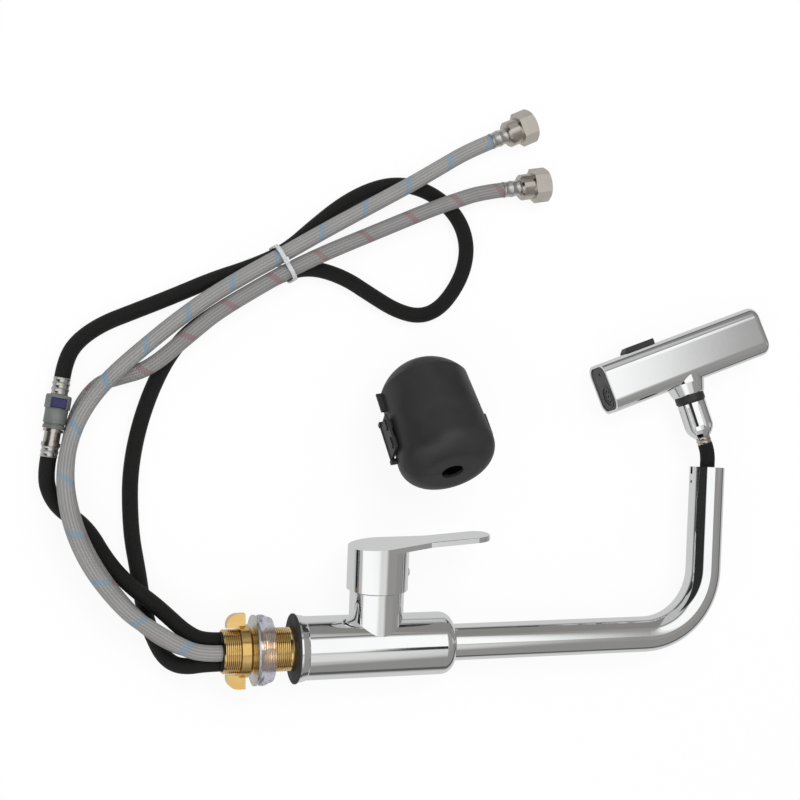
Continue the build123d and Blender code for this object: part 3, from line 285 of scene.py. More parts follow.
def makeHoseFinish(name, look):
    # Braided hose: strand colours, darker threads, channels and gaps, paler rows and marked strands
    material, tree, shader = newMaterial(name)
    weave = addNode(tree, "ShaderNodeGroup", {"node_tree": braid}, {
        "Strands": look["strands"],
        "Pitch": look["pitch"],
        "Threads": look["threads"],
        "Hand": look["hand"],
    })
    wear = addNode(tree, "ShaderNodeGroup", {"node_tree": handling}, {"Smudge Scale": look["smudgeScale"]})
    colour = mixColour(tree, wear.outputs["Smudge"], look["shade"], look["base"])
    for output, strength, shade in (
        ("Thread", "threadShade", "gap"),
        ("Lengthwise", "rows", "pale"),
        ("Channel", "channels", "gap"),
        ("Tracer", "tracer", "mark"),
    ):
        amount = calc(tree, "MULTIPLY", weave.outputs[output], look[strength])
        colour = mixColour(tree, amount, colour, look[shade])
    colour = mixColour(tree, calc(tree, "POWER", weave.outputs["Gap"], look["gapEdge"]), colour, look["gap"])
    tree.links.new(colour, shader.inputs["Base Color"])
    rough = mapRange(tree, wear.outputs["Smudge"], (0, 1), look["roughLow"], look["roughHigh"])
    tree.links.new(rough, shader.inputs["Roughness"])
    reliefValues = {"Strength": look["bump"], "Distance": braidRelief["depth"]}
    relief = addNode(tree, "ShaderNodeBump", values=reliefValues)
    thread, height = weave.outputs["Thread"], weave.outputs["Height"]
    threadRelief = calc(tree, "MULTIPLY_ADD", thread, braidRelief["threads"], height)
    tree.links.new(threadRelief, relief.inputs["Height"])
    tree.links.new(relief.outputs[0], shader.inputs["Normal"])
    shader.inputs["Specular IOR Level"].default_value = look["gleam"]
    return material


# Colours are shares of light, scales are waves a metre and depths are in metres
finishes = {
    "polishedChrome": {
        "base": (0.955, 0.96, 0.965), "shade": (0.92, 0.925, 0.93),
        "metallic": 1, "roughLow": 0.035, "roughHigh": 0.07, "smudgeScale": 22, "grainScale": 260,
        "bump": 0.012, "depth": 0.0003,
    },
    "goldBrass": {
        "base": (0.88, 0.62, 0.25), "shade": (0.76, 0.48, 0.16),
        "metallic": 1, "roughLow": 0.1, "roughHigh": 0.2, "smudgeScale": 70, "grainScale": 1400,
        "bump": 0.1, "depth": 0.0002,
    },
    "threadBrass": {
        "base": (0.96, 0.74, 0.36), "shade": (0.86, 0.6, 0.25),
        "metallic": 1, "roughLow": 0.1, "roughHigh": 0.18, "smudgeScale": 70, "grainScale": 1400,
        "bump": 0.05, "depth": 0.0002,
        # Painted shade: the colour and strength of the dark lines in each thread groove
        "grooves": {"pitch": 0.0015, "offset": 0.000475, "strength": 0.6, "colour": (0.22, 0.1, 0.02)},
    },
    "paleBrass": {
        "base": (0.8, 0.64, 0.36), "shade": (0.68, 0.52, 0.28),
        "metallic": 1, "roughLow": 0.3, "roughHigh": 0.45, "smudgeScale": 60, "grainScale": 1200,
        "bump": 0.1, "depth": 0.0002,
    },
    "platedSteel": {
        "base": (0.72, 0.71, 0.69), "shade": (0.6, 0.59, 0.57),
        "metallic": 1, "roughLow": 0.2, "roughHigh": 0.34, "smudgeScale": 60, "grainScale": 1500,
        "stretch": (1, 0.15, 1), "bump": 0.12, "depth": 0.0002,
    },
    "satinNickel": {
        "base": (0.68, 0.635, 0.58), "shade": (0.56, 0.51, 0.46),
        "metallic": 1, "roughLow": 0.14, "roughHigh": 0.28, "smudgeScale": 80, "grainScale": 1600,
        "stretch": (0.2, 1, 1), "bump": 0.12, "depth": 0.0002,
    },
    "blackRubber": {
        "base": (0.035, 0.035, 0.036), "shade": (0.02, 0.02, 0.02),
        "roughLow": 0.55, "roughHigh": 0.75, "smudgeScale": 120, "grainScale": 2200, "bump": 0.25,
        "depth": 0.0003,
    },
    "clearLilac": {
        "base": (0.9, 0.91, 1.0), "shade": (0.83, 0.84, 0.98),
        "roughLow": 0.12, "roughHigh": 0.24, "smudgeScale": 60, "grainScale": 900, "bump": 0.1,
        "depth": 0.0002, "clear": 0.94, "bend": 1.42,
    },
    "milkPlastic": {
        "base": (0.84, 0.84, 0.82), "shade": (0.78, 0.78, 0.76),
        "roughLow": 0.25, "roughHigh": 0.38, "smudgeScale": 50, "grainScale": 1200, "bump": 0.08,
        "depth": 0.0002,
    },
    "tieNylon": {
        "base": (0.86, 0.87, 0.88), "shade": (0.78, 0.79, 0.8),
        "roughLow": 0.22, "roughHigh": 0.36, "smudgeScale": 90, "grainScale": 1200, "bump": 0.1,
        "depth": 0.0002, "clear": 0.45, "bend": 1.45,
    },
    "ceramicWhite": {
        "base": (0.88, 0.86, 0.82), "shade": (0.84, 0.82, 0.78),
        "roughLow": 0.1, "roughHigh": 0.2, "smudgeScale": 60, "grainScale": 900, "bump": 0.03,
        "depth": 0.0001,
    },
    "mouldedBlack": {
        "base": (0.026, 0.026, 0.028), "shade": (0.016, 0.016, 0.017),
        "roughLow": 0.36, "roughHigh": 0.5, "smudgeScale": 26, "grainScale": 1900, "bump": 0.18,
        "depth": 0.0003,
    },
    "charcoalFace": {
        "base": (0.075, 0.075, 0.078), "shade": (0.055, 0.055, 0.058),
        "roughLow": 0.45, "roughHigh": 0.6, "smudgeScale": 60, "grainScale": 2000, "bump": 0.15,
        "depth": 0.0002,
    },
    "smokePlastic": {
        "base": (0.46, 0.47, 0.48), "shade": (0.38, 0.39, 0.4),
        "roughLow": 0.2, "roughHigh": 0.32, "smudgeScale": 60, "grainScale": 1200, "bump": 0.06,
        "depth": 0.0002,
    },
    "couplingGreen": {
        "base": (0.17, 0.185, 0.17), "shade": (0.115, 0.127, 0.117),
        "roughLow": 0.35, "roughHigh": 0.5, "smudgeScale": 80, "grainScale": 1500, "bump": 0.15,
        "depth": 0.0002,
    },
    "couplingViolet": {
        "base": (0.022, 0.018, 0.1), "shade": (0.014, 0.012, 0.06),
        "roughLow": 0.3, "roughHigh": 0.45, "smudgeScale": 80, "grainScale": 1500, "bump": 0.1,
        "depth": 0.0002,
    },
    "castIron": {
        "base": (0.09, 0.088, 0.085), "shade": (0.05, 0.05, 0.05),
        "metallic": 0.6, "roughLow": 0.6, "roughHigh": 0.8, "smudgeScale": 40, "grainScale": 700,
        "bump": 0.5, "depth": 0.0006,
    },
}
hoseFinishes = {
    "coldBraid": {
        "base": (0.42, 0.415, 0.405), "shade": (0.32, 0.315, 0.305), "gap": (0.09, 0.088, 0.09),
        "pale": (0.66, 0.655, 0.655), "mark": (0.12, 0.38, 0.62),
        "hand": -1, "strands": 16, "pitch": 0.02, "threads": 4, "threadShade": 0.3, "rows": 0.35,
        "channels": 0.15, "tracer": 0.72, "gapEdge": 4, "smudgeScale": 40, "roughLow": 0.4,
        "roughHigh": 0.55, "bump": 0.7, "gleam": 0.5,
    },
    # Painted shade: the hot hose is the cold hose's braid with its base, shade, gap and pale colours darker,
    # as for a hose lying in shade; its red mark is its own
    "hotBraidInPaintedShade": {
        "base": (0.36, 0.355, 0.35), "shade": (0.28, 0.275, 0.27), "gap": (0.08, 0.075, 0.078),
        "pale": (0.56, 0.55, 0.555), "mark": (0.34, 0.03, 0.06),
        "hand": 1, "strands": 16, "pitch": 0.02, "threads": 4, "threadShade": 0.3, "rows": 0.35,
        "channels": 0.15, "tracer": 0.6, "gapEdge": 4, "smudgeScale": 40, "roughLow": 0.4,
        "roughHigh": 0.55, "bump": 0.7, "gleam": 0.5,
    },
    "blackBraid": {
        "base": (0.013, 0.013, 0.012), "shade": (0.008, 0.008, 0.008), "gap": (0.003, 0.003, 0.003),
        "pale": (0.024, 0.024, 0.023), "mark": (0.013, 0.013, 0.012),
        "hand": 1, "strands": 24, "pitch": 0.032, "threads": 3, "threadShade": 0.3, "rows": 0.2,
        "channels": 0.2, "tracer": 0, "gapEdge": 3, "smudgeScale": 60, "roughLow": 0.5,
        "roughHigh": 0.7, "bump": 0.6, "gleam": 0.3,
    },
}
materials = {name: makeFinish(name, look) for name, look in finishes.items()}
materials.update({name: makeHoseFinish(name, look) for name, look in hoseFinishes.items()})
print("materials made:", len(materials))


# Hoses: a mesh tube along the smooth line of its route
hoseCurve = {"resolution": 10, "order": 3}


def routeLine(name, route):
    curve = bpy.data.curves.new(name, "CURVE")
    curve.dimensions = "3D"
    curve.resolution_u = hoseCurve["resolution"]
    spline = curve.splines.new("NURBS")
    spline.points.add(len(route) - 1)
    for point, place in zip(spline.points, route):
        point.co = (*place, 1)
    spline.order_u = hoseCurve["order"]
    spline.use_endpoint_u = True
    holder = bpy.data.objects.new(name, curve)
    scene.collection.objects.link(holder)
    bpy.context.view_layer.update()
    mesh = bpy.data.meshes.new_from_object(holder.evaluated_get(bpy.context.evaluated_depsgraph_get()))
    line = [v.co.copy() for v in mesh.vertices]
    bpy.data.objects.remove(holder)
    bpy.data.meshes.remove(mesh)
    return line


def hoseMesh(name, line, radius, sides=28, mapStretch=1):
    # Rings that are carried along the line without twist, with a map of share round and metres along.
    # A piece meant to be drawn out has its metres multiplied by mapStretch.
    mesh = bmesh.new()
    mapLayer = mesh.loops.layers.uv.new("hoseMap")
    up = Vector((0, 0, 1))
    rings = []
    along = []
    length = 0
    for index, point in enumerate(line):
        before = line[max(index - 1, 0)]
        after = line[min(index + 1, len(line) - 1)]
        heading = (after - before).normalized()
        aside = heading.cross(up).normalized()
        up = aside.cross(heading)
        if index:
            length += (point - line[index - 1]).length * mapStretch
        along.append(length)
        turns = [2 * pi * k / sides for k in range(sides)]
        rings.append([mesh.verts.new(point + (aside * cos(a) + up * sin(a)) * radius) for a in turns])
    for index in range(len(rings) - 1):
        near, far = rings[index], rings[index + 1]
        for k in range(sides):
            beside = (k + 1) % sides
            face = mesh.faces.new((near[k], near[beside], far[beside], far[k]))
            face.smooth = True
            shares = (k / sides, (k + 1) / sides, (k + 1) / sides, k / sides)
            ends = (along[index], along[index], along[index + 1], along[index + 1])
            for loop, share, end in zip(face.loops, shares, ends):
                loop[mapLayer].uv = (share, end)
    mesh.faces.new(list(reversed(rings[0])))
    mesh.faces.new(rings[-1])
    bmesh.ops.recalc_face_normals(mesh, faces=mesh.faces)
    made = bpy.data.meshes.new(name)
    mesh.to_mesh(made)
    mesh.free()
    return made


hoseDiameter = 0.012
hoses = {
    "coldSupplyHose": {"node": "cold_supply_hose", "finish": "coldBraid", "route": [
        (-0.055, 0.0, 0.0086), (-0.071, 0.0, 0.0086), (-0.087, 0.007, 0.0068), (-0.103, 0.017, 0.0039),
        (-0.121, 0.029, 0.0039), (-0.137, 0.0465, 0.0039), (-0.151, 0.066, 0.0039),
        (-0.161, 0.087, 0.0039), (-0.167, 0.108, 0.0039), (-0.169, 0.13, 0.0),
        (-0.1655, 0.152, -0.0065), (-0.159, 0.171, -0.0083), (-0.1475, 0.19, -0.0083),
        (-0.131, 0.208, -0.0083), (-0.11, 0.2265, -0.0083), (-0.088, 0.245, -0.0083),
        (-0.062, 0.2645, -0.0083), (-0.033, 0.2825, -0.0073), (-0.004, 0.299, -0.0065),
        (0.028, 0.318, -0.0073), (0.062, 0.337, -0.0083), (0.096, 0.356, -0.0083),
        (0.12, 0.3705, -0.0083), (0.1454, 0.3859, -0.0145), (0.16547, 0.3948, -0.0145),
    ]},
    "hotSupplyHose": {"node": "hot_supply_hose", "finish": "hotBraidInPaintedShade", "route": [
        (-0.055, 0.0, -0.0086), (-0.071, 0.0, -0.0086), (-0.087, 0.005, -0.0083),
        (-0.102, 0.014, -0.0083), (-0.118, 0.028, -0.0083), (-0.134, 0.047, -0.0083),
        (-0.147, 0.066, -0.0083), (-0.157, 0.086, -0.0083), (-0.163, 0.104, -0.0076),
        (-0.1665, 0.124, -0.0125), (-0.1655, 0.143, -0.019), (-0.1625, 0.1595, -0.0205),
        (-0.1585, 0.1745, -0.0205), (-0.1515, 0.1885, -0.0205), (-0.1405, 0.2, -0.0205),
        (-0.126, 0.2045, -0.02), (-0.1107, 0.2087, -0.012), (-0.097, 0.218, -0.0083),
        (-0.083, 0.2303, -0.0083), (-0.0693, 0.242, -0.0083), (-0.0555, 0.2533, -0.0083),
        (-0.0265, 0.2715, -0.0073), (0.0025, 0.2883, -0.0065), (0.031, 0.302, -0.0073),
        (0.061, 0.315, -0.0083), (0.092, 0.3285, -0.0083), (0.118, 0.3395, -0.0083),
        (0.137, 0.3465, -0.0083), (0.1565, 0.3535, -0.0145), (0.17556, 0.35666, -0.0145),
    ]},
    "mixedOutletHose": {"node": "outlet_hose", "finish": "blackBraid", "route": [
        (-0.055, 0.0086, 0.0), (-0.068, 0.0086, 0.0), (-0.0805, 0.0155, -0.0035),
        (-0.092, 0.0265, -0.008), (-0.1035, 0.037, -0.0083), (-0.116, 0.0465, -0.0083),
        (-0.129, 0.059, -0.014), (-0.139, 0.073, -0.0205), (-0.147, 0.087, -0.0205),
        (-0.157, 0.098, -0.0205), (-0.169, 0.1055, -0.0205), (-0.1775, 0.117, -0.019),
        (-0.181, 0.131, -0.0165), (-0.17874, 0.14481, -0.0165),
    ]},
    "pullOutHose": {"node": "pullout_hose", "finish": "blackBraid", "route": [
        (-0.055, -0.0086, 0.0), (-0.067, -0.0086, 0.0), (-0.078, -0.0105, -0.004),
        (-0.0875, -0.0095, -0.011), (-0.095, -0.003, -0.0175), (-0.1005, 0.008, -0.0205),
        (-0.106, 0.022, -0.0205), (-0.11, 0.04, -0.0205), (-0.113, 0.06, -0.0205),
        (-0.1175, 0.084, -0.0205), (-0.119, 0.107, -0.0205), (-0.119, 0.129, -0.0205),
        (-0.116, 0.152, -0.0205), (-0.11, 0.176, -0.0205), (-0.101, 0.2, -0.0205),
        (-0.09, 0.221, -0.0205), (-0.076, 0.2385, -0.0205), (-0.0555, 0.2535, -0.0205),
        (-0.027, 0.271, -0.0195), (-0.002, 0.2855, -0.0188), (0.02, 0.2905, -0.0195),
        (0.046, 0.2835, -0.0205), (0.068, 0.27, -0.0205), (0.088, 0.2585, -0.0205),
        (0.107, 0.254, -0.0205), (0.123, 0.26, -0.0205), (0.136, 0.275, -0.0205),
        (0.145, 0.293, -0.0205), (0.1475, 0.312, -0.0205), (0.142, 0.33, -0.0205),
        (0.129, 0.345, -0.0205), (0.11, 0.3555, -0.0205), (0.088, 0.3585, -0.0205),
        (0.066, 0.3525, -0.0205), (0.044, 0.34, -0.0205), (0.022, 0.322, -0.0195),
        (-0.001, 0.3015, -0.0188), (-0.028, 0.289, -0.0195), (-0.057, 0.279, -0.0205),
        (-0.087, 0.2655, -0.0205), (-0.117, 0.253, -0.0205), (-0.14, 0.2435, -0.0205),
        (-0.1575, 0.231, -0.02), (-0.1667, 0.2168, -0.0165), (-0.169, 0.203, -0.0165),
    ]},
}
for name, look in hoses.items():
    line = routeLine(name, look["route"])
    piece = addPiece(name, hoseMesh(name, line, hoseDiameter / 2), materials[look["finish"]])
    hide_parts(look["node"])
    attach(piece, "mixer")

# Hose from inside the spout to the ferrule, which bends at the elbow
spoutHose = {
    "throatStart": (0.345896, 0.083885, 0.0),
    "neckStart": (0.346132, 0.088379, 0.0),
    "elbow": (0.349162, 0.146199, 0.0),
    "ferrule": (0.347027, 0.15334, -0.00084),
    "tangent": 0.00675,
    "drawn": 0.45,
    "rings": 40,
    "bendRings": 16,
    "sides": 32,
}
throatStart, neckStart, elbow, ferruleFoot = (
    Vector(spoutHose[key]) for key in ("throatStart", "neckStart", "elbow", "ferrule")
)
throatStretch = 1 + spoutHose["drawn"] / (neckStart - throatStart).length
elbowIn = elbow + (neckStart - elbow).normalized() * spoutHose["tangent"]
elbowOut = elbow + (ferruleFoot - elbow).normalized() * spoutHose["tangent"]


def straightLine(start, end, count):
    return [start.lerp(end, k / count) for k in range(count + 1)]


def neckLine(straightCount, bendCount):
    # Straight out of the spout, a quadratic curve round the elbow, and the straight end into the ferrule
    points = straightLine(neckStart, elbowIn, straightCount)
    for k in range(1, bendCount + 1):
        t = k / bendCount
        points.append(elbowIn * (1 - t) ** 2 + elbow * 2 * t * (1 - t) + elbowOut * t**2)
    return points + [ferruleFoot.copy()]


# The short throat piece carries the map of its full drawn length
for name, line, stretch, node, first, second, start, end in (
    ("throatHose", straightLine(throatStart, neckStart, spoutHose["rings"]), throatStretch,
     "hose_throat", "spout", "pulled", throatStart, neckStart),
    ("neckHose", neckLine(spoutHose["rings"], spoutHose["bendRings"]), 1,
     "hose_neck", "pulled", "stem", neckStart, ferruleFoot),
):
    mesh = hoseMesh(name, line, hoseDiameter / 2, spoutHose["sides"], stretch)
    piece = addPiece(name, mesh, materials["blackBraid"])
    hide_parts(node)
    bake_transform(piece)
print("hoses made")

# The spring below the spool, a copy of its CAD mesh
spring = addPiece("modeSpring", nodes["diverter_spring"].data.copy(), materials["platedSteel"])
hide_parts("diverter_spring")
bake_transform(spring)


# Geometry Nodes helpers
def growPiece(name, tree, sizes, material, place):
    # Runs a tree with its sizes and keeps the result as a plain mesh in its place
    holder = bpy.data.objects.new(name + "Holder", bpy.data.meshes.new(name + "Holder"))
    scene.collection.objects.link(holder)
    modifier = holder.modifiers.new("grow", "NODES")
    modifier.node_group = tree
    values = dict(sizes, Material=material)
    for item in tree.interface.items_tree:
        if item.item_type == "SOCKET" and item.in_out == "INPUT" and item.name in values:
            modifier[item.identifier] = values[item.name]
    bpy.context.view_layer.update()
    mesh = bpy.data.meshes.new_from_object(holder.evaluated_get(bpy.context.evaluated_depsgraph_get()))
    bpy.data.objects.remove(holder)
    mesh.name = name
    mesh.transform(place)
    return addPiece(name, mesh)


def placeAlong(start, heading):
    # A matrix that takes the tree's own Z to a heading at a point
    return Matrix.Translation(start) @ heading.to_track_quat("Z", "Y").to_matrix().to_4x4()


# Rings along a sleeve, and how steeply and how far its two ends draw in
sleeve = {"rings": 73, "endSlope": 12, "endDepth": 0.8}


def makeFerruleTree():
    # A crimped sleeve: a tube whose radius dips at each crimp and draws in at its ends
    tree, start, end = newGroup(
        "crimpedFerrule",
        [
            ("Length", "NodeSocketFloat", 0.014),
            ("Radius", "NodeSocketFloat", 0.0067),
            ("Crimps", "NodeSocketInt", 3),
            ("Crimp Depth", "NodeSocketFloat", 0.0005),
            ("Sides", "NodeSocketInt", 40),
            ("Material", "NodeSocketMaterial", None),
        ],
        [("Geometry", "NodeSocketGeometry")],
        "GeometryNodeTree",
    )
    tip = addNode(tree, "ShaderNodeCombineXYZ")
    tree.links.new(start.outputs["Length"], tip.inputs["Z"])
    spine = addNode(tree, "GeometryNodeCurvePrimitiveLine")
    tree.links.new(tip.outputs[0], spine.inputs["End"])
    fine = addNode(tree, "GeometryNodeResampleCurve", values={"Count": sleeve["rings"]})
    tree.links.new(spine.outputs[0], fine.inputs["Curve"])
    share = tree.nodes.new("GeometryNodeSplineParameter").outputs["Factor"]
    turns = calc(tree, "MULTIPLY", share, start.outputs["Crimps"])
    wave = calc(tree, "COSINE", calc(tree, "MULTIPLY", turns, 2 * pi))
    dip = calc(tree, "POWER", calc(tree, "MULTIPLY_ADD", wave, -0.5, 0.5), 0.5)
    fromEnd = calc(tree, "MINIMUM", share, calc(tree, "SUBTRACT", 1.0, share))
    inward = calc(tree, "MINIMUM", calc(tree, "MULTIPLY", fromEnd, sleeve["endSlope"]), 1.0)
    lip = calc(tree, "MULTIPLY", calc(tree, "SUBTRACT", 1.0, inward), sleeve["endDepth"])
    drawn = calc(tree, "MULTIPLY", calc(tree, "MAXIMUM", dip, lip), start.outputs["Crimp Depth"])
    radius = calc(tree, "SUBTRACT", start.outputs["Radius"], drawn)
    ring = addNode(tree, "GeometryNodeCurvePrimitiveCircle", values={"Radius": 1})
    tree.links.new(start.outputs["Sides"], ring.inputs["Resolution"])
    skin = addNode(tree, "GeometryNodeCurveToMesh", values={"Fill Caps": True})
    tree.links.new(fine.outputs[0], skin.inputs["Curve"])
    tree.links.new(ring.outputs[0], skin.inputs["Profile Curve"])
    tree.links.new(radius, skin.inputs["Scale"])
    realize = tree.nodes.new("GeometryNodeRealizeInstances")
    paint = tree.nodes.new("GeometryNodeSetMaterial")
    tree.links.new(skin.outputs[0], realize.inputs[0])
    tree.links.new(realize.outputs[0], paint.inputs["Geometry"])
    tree.links.new(start.outputs["Material"], paint.inputs["Material"])
    tree.links.new(paint.outputs[0], end.inputs["Geometry"])
    return tree


# Vertices nearer than this are one, and edges that turn more than this angle in degrees stay hard
smoothing = {"merge": 0.000002, "angle": 40}


def smoothByAngle(mesh):
    # Smooth faces, with hard edges where the surface turns sharply
    work = bmesh.new()
    work.from_mesh(mesh)
    bmesh.ops.remove_doubles(work, verts=work.verts, dist=smoothing["merge"])
    for face in work.faces:
        face.smooth = True
    for edge in work.edges:
        edge.smooth = len(edge.link_faces) == 2 and edge.calc_face_angle(pi) < radians(smoothing["angle"])
    work.to_mesh(mesh)
    work.free()


# Fittings: angles of the hoses' ends in degrees, and the sizes that the sleeves share
fittings = {
    "coldAngle": 24,
    "hotAngle": 9.5,
    "plugAngle": 9.5,
    "coldStart": (0.165474, 0.394803, -0.0145),
    "hotStart": (0.175561, 0.356659, -0.0145),
    "plugStart": (-0.169, 0.203, -0.0165),
    "plugLength": 0.059,
    "outletInset": 0.008,
    "radius": 0.0067,
    "crimpDepth": 0.0006,
    "gap": 0.00002,
}
ferruleTree = makeFerruleTree()
coldAngle, hotAngle, plugAngle = (radians(fittings[key]) for key in ("coldAngle", "hotAngle", "plugAngle"))
coldHeading = Vector((cos(coldAngle), sin(coldAngle), 0))
hotHeading = Vector((cos(hotAngle), sin(hotAngle), 0))
plugHeading = Vector((-sin(plugAngle), -cos(plugAngle), 0))
coldStart, hotStart, plugStart = (Vector(fittings[key]) for key in ("coldStart", "hotStart", "plugStart"))
plugEnd = plugStart + plugHeading * fittings["plugLength"]
outletStart = plugEnd - plugHeading * fittings["outletInset"]
ferrules = {
    "coldFerrule": {"start": coldStart, "heading": coldHeading, "length": 0.01396, "crimps": 2},
    "hotFerrule": {"start": hotStart, "heading": hotHeading, "length": 0.01396, "crimps": 2},
    "pullOutFerrule": {"start": plugStart, "heading": plugHeading, "length": 0.01296, "crimps": 3},
    "outletFerrule": {"start": outletStart, "heading": plugHeading, "length": 0.00796, "crimps": 2},
}
for name, look in ferrules.items():
    sizes = {
        "Length": look["length"],
        "Radius": fittings["radius"],
        "Crimps": look["crimps"],
        "Crimp Depth": fittings["crimpDepth"],
    }
    place = placeAlong(look["start"] + look["heading"] * fittings["gap"], look["heading"])
    piece = growPiece(name, ferruleTree, sizes, materials["platedSteel"], place)
    smoothByAngle(piece.data)
    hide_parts("hose_ferrules")
    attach(piece, "mixer")
swivelLook = {
    "sizes": {"Length": 0.00596, "Radius": 0.00625, "Crimps": 2, "Crimp Depth": 0.0005},
    "fromElbow": 0.00752,
}
stemUp = (ferruleFoot - elbow).normalized()
swivelPlace = placeAlong(elbow + stemUp * swivelLook["fromElbow"], stemUp)
swivel = growPiece("swivelFerrule", ferruleTree, swivelLook["sizes"], materials["satinNickel"], swivelPlace)
smoothByAngle(swivel.data)
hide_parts("swivel_ferrule")
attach(swivel, "stem")
print("ferrules made")


# CAD nodes whose shape stays, dressed in their finishes
dressed = {
    "polishedChrome": ["mixer_body", "base_ring", "trim_dome", "spout_collar", "spout_tube", "handle",
                       "head_shell", "hose_connector"],
    "blackRubber": ["base_gasket", "cartridge_seals", "spout_o_rings", "nut_washers"],
    "goldBrass": ["fixing_nut"],
    "threadBrass": ["threaded_shank"],
    "paleBrass": ["hose_tails", "cartridge_nut"],
    "platedSteel": ["clamp_washer", "lever_pin", "lever_stem", "handle_grub_screw", "weight_hinge_pin"],
    "satinNickel": ["cold_nut", "hot_nut", "connector_plug", "supply_nipples"],
    "clearLilac": ["clear_washer"],
    "tieNylon": ["cable_tie"],
    "milkPlastic": ["hose_guide", "spout_bush", "check_valve", "cartridge_case", "cartridge_rotor"],
    "ceramicWhite": ["cartridge_fixed_disc", "cartridge_moving_disc"],
    "mouldedBlack": ["collar_ring", "mode_button", "weight_lower_shell", "weight_upper_shell",
                     "weight_latch", "hose_in_body", "hose_in_spout", "hoses_in_shank"],
    "charcoalFace": ["spray_face", "aerator"],
    "smokePlastic": ["index_plug", "head_core", "diverter_spool"],
    "couplingGreen": ["quick_connector"],
    "couplingViolet": ["connector_button"],
    "castIron": ["weight_lower_core", "weight_upper_core"],
}
for finish, names in dressed.items():
    for name in names:
        slots = nodes[name].material_slots
        if slots:
            for materialSlot in slots:
                materialSlot.material = materials[finish]
        else:
            nodes[name].data.materials.append(materials[finish])
print("nodes dressed:", sum(len(names) for names in dressed.values()))

# Floor: white to the camera. Mirrors see it pale close by and dark far off.
floor = {
    "height": -0.0265,
    "reach": 3.0,
    "colour": (0.9, 0.9, 0.9),
    "rough": 0.9,
    "lift": 0.9,
    "near": 0.6,
    "far": 0.1,
    "fade": (0.09, 0.2),
}
reach = floor["reach"]
corners = [(x * reach, y * reach, floor["height"]) for x, y in ((-1, -1), (1, -1), (1, 1), (-1, 1))]
floorMesh = bpy.data.meshes.new("floor")
floorMesh.from_pydata(corners, [], [(0, 1, 2, 3)])
floorMaterial, floorTree, floorShader = newMaterial("paleFloor")
floorShader.inputs["Base Color"].default_value = (*floor["colour"], 1)
floorShader.inputs["Roughness"].default_value = floor["rough"]
rays = addNode(floorTree, "ShaderNodeLightPath")
faded = mapRange(floorTree, rays.outputs["Ray Length"], floor["fade"], floor["near"], floor["far"])
glow = addNode(floorTree, "ShaderNodeEmission", values={"Color": (1, 1, 1, 1), "Strength": 1})
mirrored = addNode(floorTree, "ShaderNodeEmission", values={"Color": (1, 1, 1, 1)})
floorTree.links.new(faded, mirrored.inputs["Strength"])
direct = calc(floorTree, "MAXIMUM", rays.outputs["Is Camera Ray"], rays.outputs["Is Transmission Ray"])
lifted = calc(floorTree, "MULTIPLY", direct, floor["lift"])
result = mixShader(floorTree, lifted, floorShader.outputs[0], glow.outputs[0])
result = mixShader(floorTree, rays.outputs["Is Glossy Ray"], result, mirrored.outputs[0])
floorTree.links.new(result, floorTree.nodes["Material Output"].inputs[0])
addPiece("floor", floorMesh, floorMaterial)

# Studio: a soft white room with a grey side and dark gaps between its panels, which the chrome shows
studio = bpy.data.worlds.new("studio")
scene.world = studio
studio.use_nodes = True
sky = studio.node_tree
sky.nodes.clear()
aim = addNode(sky, "ShaderNodeTexCoord")
axes = addNode(sky, "ShaderNodeSeparateXYZ")
sky.links.new(aim.outputs["Generated"], axes.inputs[0])
leanX = calc(sky, "ARCTAN2", axes.outputs[0], axes.outputs[2])
leanY = calc(sky, "ARCTAN2", axes.outputs[1], axes.outputs[2])


def panel(lowX, highX, lowY, highY, soft):
    # Share of a panel between two angles each way from overhead, in degrees, with soft edges
    share = None
    for lean, low, high in ((leanX, lowX, highX), (leanY, lowY, highY)):
        for edge, side in ((low, 1), (high, -1)):
            ends = (radians(edge - side * soft), radians(edge + side * soft))
            step = mapRange(sky, lean, ends, 0, 1, {"interpolation_type": "SMOOTHSTEP"})
            share = step if share is None else calc(sky, "MULTIPLY", share, step)
    return share


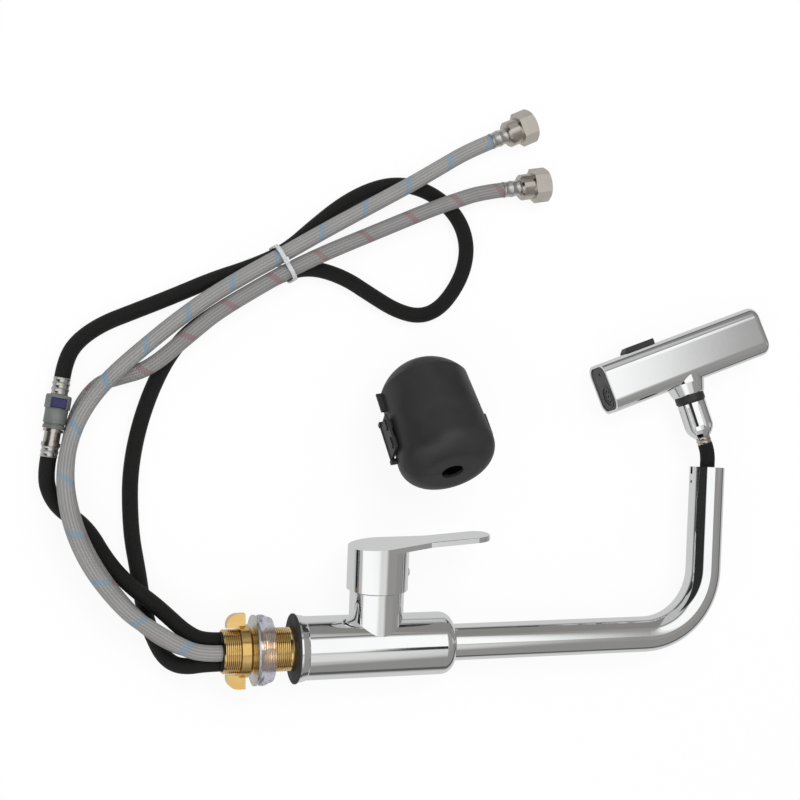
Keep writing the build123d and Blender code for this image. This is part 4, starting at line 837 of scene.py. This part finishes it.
# The room as mirrors see it, with each panel's four angles, shade and softness, and its plain light
room = {
    "plain": (0.9, 0.9, 0.9),
    "plainStrength": 0.75,
    "walls": (0.5, 0.5, 0.495),
    "panels": [
        ((24, 180, -110, -6), (0.27, 0.265, 0.26), 3),
        ((-180, 24, -110, -14), (0.47, 0.465, 0.46), 5),
        ((-85, 22, -46, -17), (0.7, 0.7, 0.69), 5),
        ((-85, -8, -50, -17), (1.0, 1.0, 1.0), 8),
        ((24, 110, 34, 110), (0.24, 0.235, 0.23), 3),
        ((26, 62, -34, 45), (0.3, 0.295, 0.29), 4),
        ((-100, -26, -14, 60), (0.025, 0.025, 0.025), 3),
        ((-25, 23.5, -12, 37), (1.0, 1.0, 1.0), 3),
        ((16.5, 22, -16, -6), (0.03, 0.03, 0.03), 1),
        ((-25, 24, 41, 46), (0.2, 0.2, 0.2), 1.5),
    ],
}
colour = room["walls"]
for (lowX, highX, lowY, highY), shade, soft in room["panels"]:
    colour = mixColour(sky, panel(lowX, highX, lowY, highY, soft), colour, shade)
reflected = addNode(sky, "ShaderNodeBackground", values={"Strength": 1.0})
sky.links.new(colour, reflected.inputs["Color"])
plainValues = {"Color": (*room["plain"], 1), "Strength": room["plainStrength"]}
plain = addNode(sky, "ShaderNodeBackground", values=plainValues)
white = addNode(sky, "ShaderNodeBackground", values={"Color": (1, 1, 1, 1), "Strength": 1.0})
skyRays = addNode(sky, "ShaderNodeLightPath")
seen = mixShader(sky, skyRays.outputs["Is Glossy Ray"], plain.outputs[0], reflected.outputs[0])
seen = mixShader(sky, skyRays.outputs["Is Camera Ray"], seen, white.outputs[0])
skyEnd = sky.nodes.new("ShaderNodeOutputWorld")
sky.links.new(seen, skyEnd.inputs["Surface"])

# Two soft lamps that look at one point of the table
lampAim = Vector((0.1, 0.15, 0))
lamps = {
    "keyLamp": {"place": (0.25, 0.7, 1.3), "size": 0.9, "power": 9},
    "fillLamp": {"place": (-0.6, -0.5, 1.1), "size": 0.8, "power": 4},
}
for name, look in lamps.items():
    lamp = bpy.data.lights.new(name, "AREA")
    lamp.size = look["size"]
    lamp.energy = look["power"]
    holder = bpy.data.objects.new(name, lamp)
    holder.location = look["place"]
    holder.rotation_euler = (lampAim - Vector(look["place"])).to_track_quat("-Z", "Y").to_euler()
    holder.visible_glossy = False
    scene.collection.objects.link(holder)
print("stage and lamps made")
